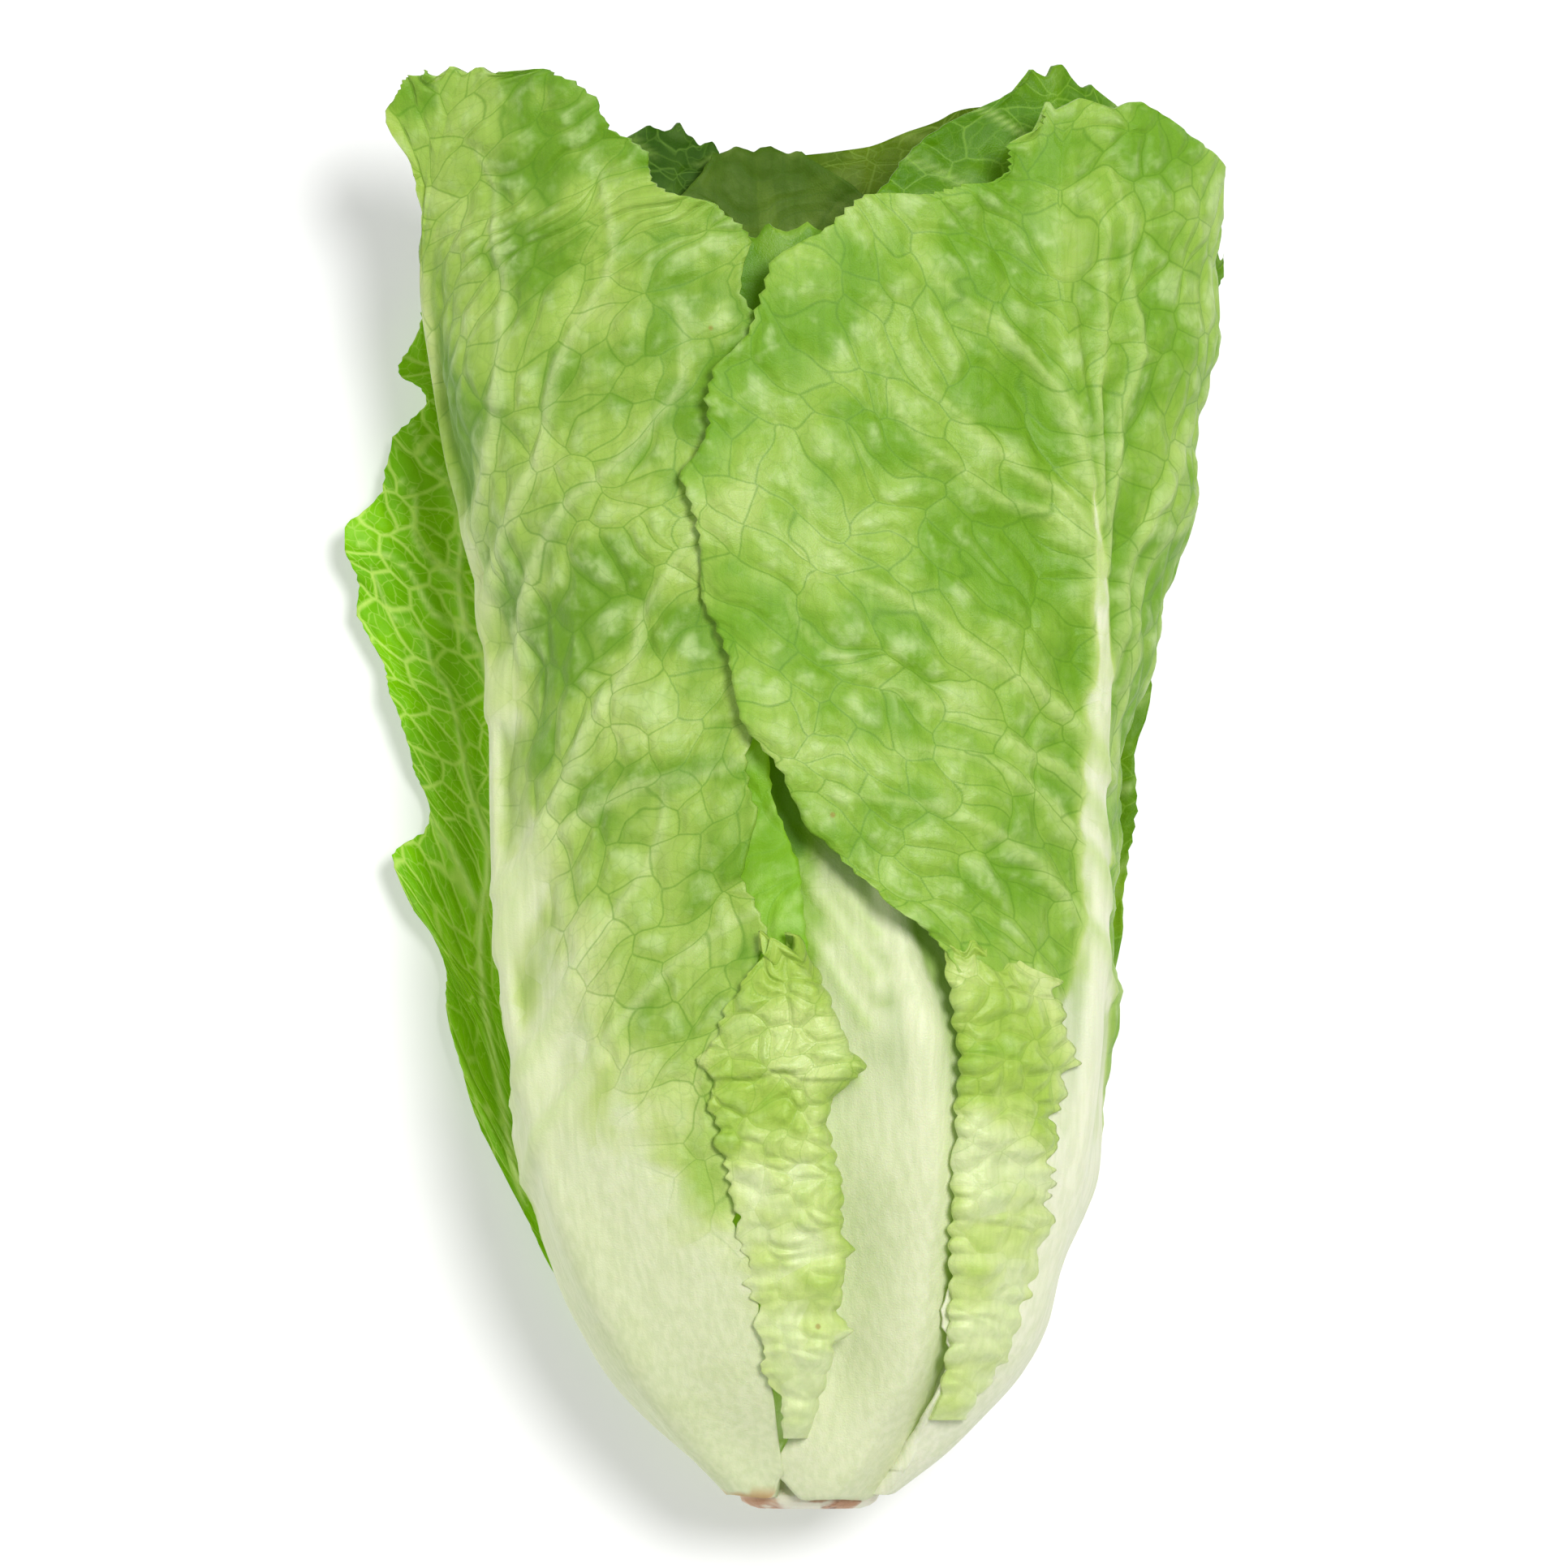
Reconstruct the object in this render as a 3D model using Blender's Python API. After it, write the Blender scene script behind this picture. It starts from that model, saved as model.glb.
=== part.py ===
"""A romaine heart lying on its back leaves, modelled in metres.

The leaf tips point towards +Y, the cut butt towards -Y, and +Z is up from the surface that it lies on.
The origin is on that surface, below the middle of the head's length.
Every leaf is a thin closed solid. It is drawn as three lines on the head, its midrib and its two margins,
and lies in its own layer between the outer skin of the head and the stem, so that no two leaves cross.
"""

import math
from dataclasses import dataclass

import bmesh
import bpy
from mathutils import Vector

# Lengths below are in millimetres from the butt unless a comment says otherwise.
MM = 0.001
BUTT_TO_ORIGIN = 120.0
BLADE = 1.0
CLEARANCE = 0.35
RIB_OUTWARD_SHARE = 0.45
RIB_SHARPNESS = 1.35
TUCK_UNDER = 2.2
MARGIN_LIFT = 1.0
CENTRE_LEFT_DROP = 6.6
CENTRE_RIGHT_DROP = 1.8
CENTRE_TOP_DROP = 7.2
BACK_RIGHT_LIFT = 2.6
BACK_RIGHT_GAP = 0.15
FLOOR_FLAT_HALF = 16.0
FLOOR_CENTRE_X = 4.0
FLOOR_RISE = 0.0042
FLOOR_RISE_REACH = 40.0
FLOOR_EDGE_SLOPE = 0.10
FLOOR_SINK = 0.35
STEM_SIDES = 24
BASE_BLEND = 0.10
TIP_THINNING = 0.85
DRAWN_DEPTH_SHARE = 0.3
FOLD_BEND = 2.2
FOLD_ROOT = 2.0
FOLD_START = 1.0 / 9.0
FOLD_END = 5.0 / 9.0
FOLD_TEETH = 1.1
FOLD_TOOTH_COUNT = 11.0
FOLD_LUMP = 0.5
FOLD_LUMP_COUNT = 7.0
FOLD_TILT = 0.5

# The head's outer skin: distance from the butt, half width on the left and right, half height,
# sideways place of its axis, and height of its underside.
SKIN = (
    (0.0, 13.0, 13.0, 12.5, 4.0, 17.5),
    (4.0, 18.0, 18.0, 16.5, 4.2, 14.5),
    (10.0, 25.0, 25.0, 21.0, 4.5, 11.4),
    (19.0, 32.5, 32.0, 26.5, 4.8, 8.8),
    (28.0, 37.6, 37.0, 30.0, 5.0, 7.5),
    (40.0, 42.4, 41.0, 33.0, 4.5, 6.5),
    (55.0, 47.0, 46.5, 36.0, 4.0, 6.0),
    (75.0, 50.0, 50.6, 38.0, 3.5, 5.5),
    (96.0, 51.0, 51.7, 39.0, 3.5, 5.5),
    (116.0, 50.7, 52.5, 39.0, 3.0, 5.5),
    (136.0, 50.8, 56.2, 38.5, 3.0, 5.5),
    (157.0, 53.0, 62.0, 37.5, 3.0, 5.5),
    (175.0, 58.0, 65.5, 37.0, 3.0, 5.5),
    (197.0, 61.6, 68.5, 36.0, 3.0, 5.5),
    (220.0, 65.2, 69.5, 35.0, 3.0, 5.5),
    (243.0, 73.0, 69.0, 34.0, 3.0, 5.5),
)
# The stem's radius along its length, from the cut face to the growing tip.
STEM_PROFILE = (
    (0.0, 11.8),
    (0.5, 12.7),
    (1.5, 13.1),
    (2.2, 12.7),
    (2.7, 11.0),
    (6.0, 11.0),
    (12.0, 11.8),
    (20.0, 12.2),
    (30.0, 10.6),
    (45.0, 7.2),
    (58.0, 3.4),
    (64.0, 0.4),
)
# How far a leaf on the floor is lifted near the butt, against the distance from the butt.
FLOOR_LIFT = ((0.0, 18.0), (5.0, 14.6), (8.0, 12.8), (12.0, 10.4), (19.0, 7.0), (28.0, 4.0),
              (40.0, 1.6), (55.0, 0.3), (65.0, 0.0))


def table(rows, position, column=1):
    """Read a smooth value from a table whose first column rises."""
    last = len(rows) - 1
    if position <= rows[0][0]:
        return rows[0][column]
    if position >= rows[last][0]:
        return rows[last][column]
    index = max(i for i in range(last) if rows[i][0] <= position)
    before, start, end, after = (rows[min(max(index + k, 0), last)] for k in (-1, 0, 1, 2))
    span = end[0] - start[0]
    part = (position - start[0]) / span
    slope_start = (end[column] - before[column]) / (end[0] - before[0]) * span
    slope_end = (after[column] - start[column]) / (after[0] - start[0]) * span
    square, cube = part * part, part * part * part
    return (
        (2 * cube - 3 * square + 1) * start[column]
        + (cube - 2 * square + part) * slope_start
        + (3 * square - 2 * cube) * end[column]
        + (cube - square) * slope_end
    )


def line_at(points, along):
    """Follow a smooth line through points, with along running from 0 to 1."""
    count = len(points) - 1
    place = min(max(along, 0.0), 1.0) * count
    index = min(int(place), count - 1)
    part = place - index
    a, b, c, d = (Vector(points[min(max(index + k, 0), count)]) for k in (-1, 0, 1, 2))
    if index == 0:
        a = b * 2 - c
    if index == count - 1:
        d = c * 2 - b
    cubic = (b - c) * 3 + d - a
    return ((cubic * part + (a * 2 - b * 5 + c * 4 - d)) * part + (c - a)) * part * 0.5 + b


def step(low, high, value):
    """Rise smoothly from 0 at low to 1 at high."""
    part = min(max((value - low) / (high - low), 0.0), 1.0)
    return part * part * (3 - 2 * part)


@dataclass
class Leaf:
    """One leaf: lines seen from above as (sideways, from the butt) in millimetres, and its layer."""

    name: str
    side: str
    middle: tuple
    left: tuple
    right: tuple
    depth: float
    rib: tuple = (4.0, 3.0, 0.3)
    rib_width: tuple = (8.0, 5.0, 1.5)
    columns: int = 10
    rows: int = 18
    ruffle: float = 0.8
    teeth: float = 0.8
    waves: float = 9.0
    ridges: float = 0.5
    ridge_count: float = 6.0
    colour: tuple = (0.3, 0.55, 0.12)


LEAVES = (
    Leaf(
        name="leaf_front_left",
        side="front",
        middle=((-10.5, 3.2), (-24.5, 26), (-36.5, 52), (-43.5, 78), (-46.5, 106), (-47.3, 135),
                (-53.5, 165),
                (-58.5, 192), (-60.5, 212), (-59, 228), (-54, 239.5)),
        left=((-19.5, 3.3), (-50, 27), (-66, 54), (-75, 80), (-76, 106), (-76, 134), (-79, 162),
              (-80, 190), (-73, 212), (-68, 231.5), (-61, 239)),
        right=((-3.6, 3.6), (-5.5, 36), (-9, 66), (-4.5, 92), (-5, 122), (-3.5, 152), (-4, 180),
               (-7.0, 206.5), (-18, 219.8), (-26, 233), (-44, 240.2)),
        depth=0.0,
        rib=(5.0, 4.6, 0.6),
        rib_width=(7.0, 7.5, 2.0),
        columns=18,
        rows=30,
        ruffle=0.7,
        teeth=1.0,
        waves=15.0,
        ridges=0.7,
        ridge_count=9.0,
        colour=(0.33, 0.56, 0.15),
    ),
    Leaf(
        name="leaf_front_right",
        side="front",
        middle=((19.6, 3.2), (34, 22), (44, 47), (49.7, 76), (51.5, 100), (51.6, 130), (51, 155),
                (49, 178), (46, 198), (45, 217), (46, 234)),
        left=((16.4, 3.2), (25.5, 19), (28.8, 50), (28.5, 88), (9, 108), (-7.7, 136), (-15, 166),
              (-9, 193), (10, 216), (33, 220.5), (41, 233)),
        right=((27.5, 3.3), (54, 24), (72, 48), (81, 76), (81, 100), (76, 126), (77, 150),
               (75, 174), (73, 196), (72.4, 219), (58.5, 234.2)),
        depth=0.0,
        rib=(5.0, 4.4, 0.6),
        rib_width=(9.5, 6.5, 2.0),
        columns=18,
        rows=30,
        ruffle=0.8,
        teeth=1.1,
        waves=15.0,
        ridges=0.8,
        ridge_count=9.0,
        colour=(0.31, 0.56, 0.14),
    ),
    Leaf(
        name="leaf_centre",
        side="front",
        middle=((8.6, 3.3), (19, 20), (23.5, 45), (23.5, 72), (20, 100), (13, 130), (6, 160), (0, 188),
                (-2.5, 213)),
        left=((2.0, 3.5), (4.6, 20), (-2, 45), (-12, 70), (-21, 96), (-27, 126), (-25, 158), (-16, 186),
              (-11, 211)),
        right=((14.4, 3.4), (23.2, 20), (30, 45), (37, 72), (41, 100), (42, 130), (37, 160), (20, 190),
               (6, 212.5)),
        depth=2.6,
        rib=(3.4, 5.0, 0.5),
        rib_width=(5.0, 8.0, 1.6),
        columns=14,
        rows=24,
        ridge_count=6.0,
        colour=(0.66, 0.74, 0.42),
    ),
    Leaf(
        name="leaf_inner_left",
        side="front",
        middle=((-0.2, 5.8), (-6.5, 28), (-13, 52), (-19, 76), (-23, 100), (-25, 126), (-23, 150),
                (-19, 174), (-15, 196)),
        left=((-1.6, 6.5), (-9.5, 30), (-20, 54), (-30, 78), (-40, 102), (-43, 128), (-40, 152),
              (-32, 176), (-20, 195)),
        right=((1.3, 6.5), (3.5, 26), (6.5, 50), (6, 74), (3, 103), (-3, 128), (-6, 152), (-8, 175),
               (-11, 195)),
        depth=5.2,
        rib=(2.2, 3.0, 0.4),
        rib_width=(3.0, 5.0, 1.5),
        columns=12,
        rows=20,
        colour=(0.50, 0.68, 0.25),
    ),
    Leaf(
        name="leaf_second_right",
        side="front",
        middle=((20, 17), (33, 45), (38, 80), (38, 110), (40, 140), (42, 170), (44, 200), (45, 222),
                (45, 240.3)),
        left=((15, 19), (25, 42), (28, 66), (26, 95), (14, 130), (7, 165), (9, 202), (17, 222),
              (39, 238.2)),
        right=((25, 19), (44, 48), (54, 80), (56, 110), (58, 140), (63, 170), (65, 198), (63, 222),
               (52.5, 236.5)),
        depth=13.5,
        rib=(3.0, 3.4, 0.4),
        rib_width=(5.0, 5.0, 1.5),
        columns=12,
        rows=20,
        ruffle=0.6,
        colour=(0.25, 0.52, 0.08),
    ),
    Leaf(
        name="leaf_back_left",
        side="floor",
        middle=((-6, 6), (-21, 24), (-36, 50), (-44, 78), (-47, 105), (-48, 132), (-48, 158),
                (-47, 182), (-44, 203),
                (-40, 219)),
        left=((-10, 7), (-26, 22), (-37, 36.5), (-44, 49), (-52, 66), (-55.6, 78), (-57, 89), (-59, 95.5),
              (-64, 102.5), (-64, 110), (-59.5, 117), (-63, 125.5), (-65, 135), (-68.7, 143),
              (-71, 152), (-73.4, 161),
              (-69, 169), (-64.4, 179), (-61, 186), (-65, 190.5), (-61, 198), (-56, 207), (-49, 214),
              (-42, 219)),
        right=((1, 6), (8, 30), (18, 55), (24, 80), (26, 108), (26, 135), (22, 160), (8, 185),
               (-15, 206), (-38, 219)),
        depth=0.0,
        rib=(3.0, 3.0, 0.4),
        rib_width=(4.5, 5.0, 1.5),
        columns=14,
        rows=26,
        ruffle=1.1,
        teeth=0.7,
        waves=14.0,
        ridges=0.3,
        colour=(0.14, 0.42, 0.02),
    ),
    Leaf(
        name="leaf_back_right",
        side="floor",
        middle=((14, 6.5), (28, 24), (37, 48), (42, 72), (45, 98), (48, 124), (51, 150), (55, 175),
                (62, 197), (71, 211)),
        left=((7.5, 6.5), (2, 30), (-4, 55), (-7, 80), (-7, 108), (-5, 135), (4, 160), (22, 185),
              (46, 203), (69, 212.5)),
        right=((18.5, 7.5), (34, 22), (46, 46), (52, 70), (56.5, 100), (59.6, 124), (61.5, 150),
               (66, 175), (70.5, 197),
               (73.6, 209.5)),
        depth=0.0,
        rib=(2.6, 2.6, 0.3),
        rib_width=(4.0, 4.5, 1.5),
        columns=10,
        rows=22,
        ruffle=0.7,
        waves=11.0,
        ridges=0.3,
        colour=(0.16, 0.42, 0.05),
    ),
    Leaf(
        name="leaf_rear_left",
        side="back",
        middle=((-7, 15), (-19, 40), (-26, 70), (-29, 100), (-29, 130), (-27, 160), (-24, 190),
                (-20, 215), (-18, 231)),
        left=((-13, 17), (-34, 44), (-43, 76), (-44.5, 108), (-44.5, 138), (-49, 168), (-52, 195),
              (-46, 217), (-24.5, 231)),
        right=((-2, 17), (-6, 44), (-8, 76), (-8, 108), (-7, 138), (-6, 168), (-7, 195), (-9, 215),
               (-11, 227)),
        depth=3.0,
        rib=(2.6, 2.8, 0.4),
        rib_width=(3.5, 4.5, 1.5),
        columns=10,
        rows=20,
        colour=(0.07, 0.20, 0.03),
    ),
    Leaf(
        name="leaf_rear_right",
        side="back",
        middle=((15, 15), (26, 40), (33, 70), (36, 100), (37, 130), (37, 160), (36, 190), (36, 215),
                (36, 235)),
        left=((9, 17), (10, 44), (8, 76), (7, 108), (7, 138), (7, 168), (5, 192), (3, 212), (2.5, 225.5)),
        right=((21, 17), (41, 44), (49.3, 76), (51.2, 108), (55, 138), (61, 168), (64, 195), (64, 217),
               (58.5, 233.5)),
        depth=4.6,
        rib=(2.6, 2.8, 0.4),
        rib_width=(3.5, 4.5, 1.5),
        columns=12,
        rows=20,
        colour=(0.12, 0.20, 0.05),
    ),
    Leaf(
        name="leaf_rear_centre",
        side="back",
        middle=((4, 23), (4, 50), (3, 80), (2, 110), (1, 140), (0, 170), (-2, 200), (-4, 226)),
        left=((-2, 24), (-16, 52), (-24, 82), (-27, 110), (-28, 140), (-27, 170), (-25, 203), (-11, 224.5)),
        right=((10, 24), (22, 52), (28, 82), (31, 110), (32, 140), (31, 170), (29, 203), (4, 224)),
        depth=10.0,
        rib=(2.4, 2.8, 0.4),
        rib_width=(3.5, 4.5, 1.5),
        columns=10,
        rows=18,
        colour=(0.05, 0.13, 0.04),
    ),
    Leaf(
        name="leaf_heart_left",
        side="front",
        middle=((-3, 30), (-11, 60), (-14, 95), (-13, 130), (-10, 165), (-6, 192)),
        left=((-9, 31), (-27, 60), (-34, 95), (-34, 130), (-27, 165), (-11, 191)),
        right=((4, 31), (8, 60), (10, 95), (10, 130), (7, 165), (0, 191)),
        depth=17.5,
        rib=(2.0, 2.0, 0.4),
        columns=8,
        rows=14,
        ruffle=0.5,
        colour=(0.55, 0.65, 0.25),
    ),
    Leaf(
        name="leaf_heart_right",
        side="back",
        middle=((10, 36), (18, 62), (20, 95), (19, 125), (14, 155), (8, 180)),
        left=((5, 37), (-1, 62), (-5, 95), (-5, 125), (-3, 155), (3, 179)),
        right=((16, 37), (31, 62), (36, 95), (35, 125), (29, 155), (13, 179)),
        depth=17.5,
        rib=(2.0, 2.0, 0.4),
        columns=8,
        rows=12,
        ruffle=0.4,
        colour=(0.60, 0.66, 0.28),
    ),
)

# The margins that are folded back over the blade, as (from the butt, fold line, free edge).
RIGHT_FOLD = (
    (15.0, 23.5, 28.0),
    (24.0, 27.0, 34.0),
    (35.0, 27.6, 38.0),
    (48.0, 28.0, 42.0),
    (62.0, 28.8, 42.5),
    (76.0, 28.8, 45.5),
    (86.0, 27.8, 43.5),
    (94.0, 27.0, 44.0),
)
LEFT_FOLD = (
    (12.0, 3.2, -1.2),
    (20.0, 5.4, -2.0),
    (34.0, 8.3, -4.8),
    (48.0, 8.8, -7.6),
    (58.0, 8.0, -9.6),
    (66.0, 6.4, -11.5),
    (74.0, 10.0, -12.0),
    (84.0, 6.6, -8.5),
    (94.0, 1.0, -4.0),
)


def skin_at(from_butt):
    """Return the skin's half widths, half height, axis and middle height at one place along the head."""
    left, right, half_height, axis, under = (table(SKIN, from_butt, k) for k in range(1, 6))
    return left, right, half_height, axis, under + half_height


def angle_at(side, sideways, from_butt, depth):
    """Turn a place seen from above into an angle round the head, from the top towards the right."""
    left, right, _, axis, _ = skin_at(from_butt)
    half = (left if sideways < axis else right) - depth
    share = (sideways - axis) / half
    if abs(share) > 0.999:
        turned = math.copysign(math.pi / 2 + (abs(share) - 1.0), share)
    else:
        turned = math.asin(share)
    return math.pi - turned if side == "back" else turned


def on_skin(angle, from_butt, depth):
    """Place a point at an angle round the head and a depth below its skin."""
    left, right, half_height, axis, height = skin_at(from_butt)
    half = left if math.sin(angle) < 0 else right
    return Vector((
        axis + (half - depth) * math.sin(angle),
        from_butt - BUTT_TO_ORIGIN,
        height + (half_height - depth) * math.cos(angle),
    ))


def stem_depth(angle, from_butt):
    """Return how far below the skin the stem's surface lies at this angle."""
    left, right, half_height, _, _ = skin_at(from_butt)
    half = left if math.sin(angle) < 0 else right
    radius = table(STEM_PROFILE, from_butt)
    return (half - radius) * math.sin(angle) ** 2 + (half_height - radius) * math.cos(angle) ** 2


def floor_height(sideways, from_butt):
    """Return the height of the lowest leaves: flat under the head, rising at both sides."""
    away = max(abs(sideways - FLOOR_CENTRE_X) - FLOOR_FLAT_HALF, 0.0)
    near = min(away, FLOOR_RISE_REACH)
    return table(FLOOR_LIFT, from_butt) + FLOOR_RISE * near * near + FLOOR_EDGE_SLOPE * (away - near)


def outline_points(leaf, margin):
    """Give a line of the leaf in its own sheet: angle or sideways place, then distance from the butt."""
    if leaf.side == "floor":
        return margin
    return tuple((angle_at(leaf.side, x, y, min(leaf.depth, DRAWN_DEPTH_SHARE * y)), y) for x, y in margin)


def sheet_scale(leaf, from_butt):
    """Return the millimetres across the leaf for one unit of its sideways coordinate."""
    if leaf.side == "floor":
        return 1.0
    left, right, half_height, _, _ = skin_at(from_butt)
    return (left + right + 2 * half_height) / 4 - leaf.depth


def three_way(values, along):
    """Blend from the first value at the base through the second halfway to the third at the tip."""
    base, middle, tip = values
    if along < 0.5:
        return base + (middle - base) * step(0.0, 0.5, along)
    return middle + (tip - middle) * step(0.5, 1.0, along)


def tooth(phase):
    """Return a rounded saw tooth from -1 to 1 over each whole phase."""
    part = phase - math.floor(phase)
    return 1.0 - 2.0 * abs(2.0 * part - 1.0) ** 1.2


def layer_depth(leaf, across, along, sideways, from_butt):
    """Return the depth of the leaf's outer face before its rib and ripples are added."""
    depth = leaf.depth
    if leaf.name == "leaf_front_left":
        under_right = step(105.0, 130.0, from_butt) * (1 - step(205.0, 220.0, from_butt))
        depth += TUCK_UNDER * step(-22.0, -12.0, sideways) * under_right
    if leaf.name == "leaf_front_right":
        depth -= MARGIN_LIFT * step(0.5, 1.0, -across) * step(0.35, 0.5, along)
    if leaf.name == "leaf_centre":
        lower_half = step(0.05, 0.16, along) * (1 - step(0.40, 0.5, along))
        depth += CENTRE_LEFT_DROP * step(0.0, 0.6, -across) * lower_half
        depth += CENTRE_RIGHT_DROP * step(0.3, 0.9, across) * lower_half
        depth += CENTRE_TOP_DROP * step(0.40, 0.5, along)
    if leaf.name == "leaf_rear_right":
        depth += TUCK_UNDER * (1 - step(12.0, 20.0, sideways))
    return depth


def sheet_place(lines, across, along):
    """Return a place in the leaf's sheet, its midrib there and the span from the midrib to the margin."""
    middle = line_at(lines[0], along)
    span = line_at(lines[1] if across < 0 else lines[2], along) - middle
    return middle + span * abs(across), middle, span


def rib_height(leaf, away, along):
    """Return how much thicker the midrib makes the leaf at a distance from its middle."""
    width = three_way(leaf.rib_width, along)
    return three_way(leaf.rib, along) * math.exp(-((away / width) ** 2) * RIB_SHARPNESS)


def base_shift(leaf, lines, across, away):
    """Return how much deeper the leaf's base must start to sit on the stem."""
    base = sheet_place(lines, across, 0.0)[0]
    rib = rib_height(leaf, away, 0.0)
    sideways = on_skin(base.x, base.y, 0.0).x
    own = layer_depth(leaf, across, 0.0, sideways, base.y) - RIB_OUTWARD_SHARE * rib
    return stem_depth(base.x, base.y) - CLEARANCE - BLADE - rib - own


def leaf_point(leaf, lines, across, along, outer):
    """Place one point of a leaf: across runs from -1 to 1, along from 0 to 1, outer picks the face."""
    place, middle, span = sheet_place(lines, across, along)
    reach = abs(across)
    width = math.hypot(span.x * sheet_scale(leaf, middle.y), span.y)
    away = width * reach
    grown = step(0.05, 0.15, along)
    bite = leaf.teeth * tooth(along * leaf.waves + 0.3 * across) * step(0.8, 1.0, reach) * grown
    place -= span * (reach * bite / max(width, 4.0))
    rib = rib_height(leaf, away, along)
    thickness = BLADE * (1.0 - (1.0 - TIP_THINNING) * along) + rib
    ripple = leaf.ruffle * math.sin(2 * math.pi * (along * leaf.waves * 0.5 + 0.35 * across))
    ripple *= step(0.55, 1.0, reach) * grown
    ridge = leaf.ridges * math.cos(2 * math.pi * along * leaf.ridge_count)
    ridge *= step(3.0, 9.0, away) * (1 - step(0.6, 1.0, reach))
    ridge *= step(0.1, 0.25, along) * (1 - step(0.85, 1.0, along))
    if leaf.side == "floor":
        return floor_leaf_point(leaf, place, thickness, ripple + ridge, outer)
    sideways = on_skin(place.x, place.y, 0.0).x
    depth = layer_depth(leaf, across, along, sideways, place.y) - RIB_OUTWARD_SHARE * rib - ripple - ridge
    depth += base_shift(leaf, lines, across, away) * (1.0 - step(0.0, BASE_BLEND, along))
    return on_skin(place.x, place.y, depth if outer else depth + thickness)


def floor_leaf_point(leaf, place, thickness, ripple, outer):
    """Place one point of a leaf that lies on the floor, flat below and curling up at its margins."""
    lowest = floor_height(place.x, place.y)
    if leaf.name == "leaf_back_right":
        lowest += BACK_RIGHT_LIFT * (1 - step(30.0, 42.0, place.x)) + BACK_RIGHT_GAP
    lift = step(FLOOR_FLAT_HALF, FLOOR_FLAT_HALF + 8.0, abs(place.x - FLOOR_CENTRE_X))
    under = max(lowest + ripple * lift - FLOOR_SINK, 0.0)
    top = max(lowest + ripple * lift, FLOOR_SINK) + thickness
    return Vector((place.x, place.y - BUTT_TO_ORIGIN, under if outer else top))


def new_material(name, colour, roughness):
    """Make a plain material."""
    material = bpy.data.materials.new(name)
    material.use_nodes = True
    shader = material.node_tree.nodes["Principled BSDF"]
    shader.inputs["Base Color"].default_value = (*colour, 1.0)
    shader.inputs["Roughness"].default_value = roughness
    shader.inputs["Metallic"].default_value = 0.0
    return material


def mesh_object(name, mesh_data, collection, material):
    """Turn mesh data into a smooth object in metres."""
    bmesh.ops.triangulate(mesh_data, faces=mesh_data.faces[:])
    bmesh.ops.scale(mesh_data, verts=mesh_data.verts[:], vec=Vector((MM, MM, MM)))
    bmesh.ops.recalc_face_normals(mesh_data, faces=mesh_data.faces[:])
    mesh = bpy.data.meshes.new(name)
    mesh_data.to_mesh(mesh)
    mesh_data.free()
    mesh.materials.append(material)
    mesh.shade_smooth()
    thing = bpy.data.objects.new(name, mesh)
    collection.objects.link(thing)
    return thing


def slab(columns, rows):
    """Make a thin closed slab over a grid, with both faces split into triangles alike."""
    mesh_data = bmesh.new()
    bmesh.ops.create_grid(mesh_data, x_segments=columns, y_segments=rows, size=1.0)
    bmesh.ops.triangulate(mesh_data, faces=mesh_data.faces[:], quad_method="FIXED")
    raised = bmesh.ops.extrude_face_region(mesh_data, geom=mesh_data.faces[:], use_keep_orig=True)
    corners = [item for item in raised["geom"] if isinstance(item, bmesh.types.BMVert)]
    bmesh.ops.translate(mesh_data, verts=corners, vec=Vector((0.0, 0.0, 1.0)))
    return mesh_data


def build_leaf(leaf, collection):
    """Make one leaf as a closed solid."""
    lines = tuple(outline_points(leaf, line) for line in (leaf.middle, leaf.left, leaf.right))
    mesh_data = slab(leaf.columns, leaf.rows)
    for vertex in mesh_data.verts:
        across = math.copysign(abs(vertex.co.x) ** 1.25, vertex.co.x)
        along = (vertex.co.y + 1.0) / 2.0
        vertex.co = leaf_point(leaf, lines, across, along, vertex.co.z > 0.5)
    return mesh_object(leaf.name, mesh_data, collection, new_material(leaf.name, leaf.colour, 0.42))


def fold_line(rows, from_butt, along, hook, start_depth, top_depth, turn):
    """Return the sideways place and depth of the middle of a fold's section, a hook over the blade."""
    fold = table(rows, from_butt, 1)
    free = table(rows, from_butt, 2)
    open_share = step(0.0, 0.12, along) * (1 - step(0.92, 1.0, along))
    reach = max(turn * (free - fold) * (0.5 + 0.5 * open_share), FOLD_BEND + 1.5)
    reach += FOLD_TEETH * tooth(along * FOLD_TOOTH_COUNT) * open_share
    bend_height = (start_depth - top_depth) / 2
    lump = FOLD_LUMP * math.sin(2 * math.pi * along * FOLD_LUMP_COUNT) * math.sin(math.pi * hook)
    if hook < FOLD_START:
        part = hook / FOLD_START
        return fold + turn * (FOLD_BEND + FOLD_ROOT * (1 - part)), start_depth - lump
    if hook < FOLD_END:
        turned = math.pi * (hook - FOLD_START) / (FOLD_END - FOLD_START)
        sideways = fold + turn * FOLD_BEND * (1 - math.sin(turned))
        return sideways, start_depth - bend_height * (1 - math.cos(turned)) - lump
    part = (hook - FOLD_END) / (1 - FOLD_END)
    return fold + turn * (FOLD_BEND + (reach - FOLD_BEND) * part), top_depth - FOLD_TILT * part - lump


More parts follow.
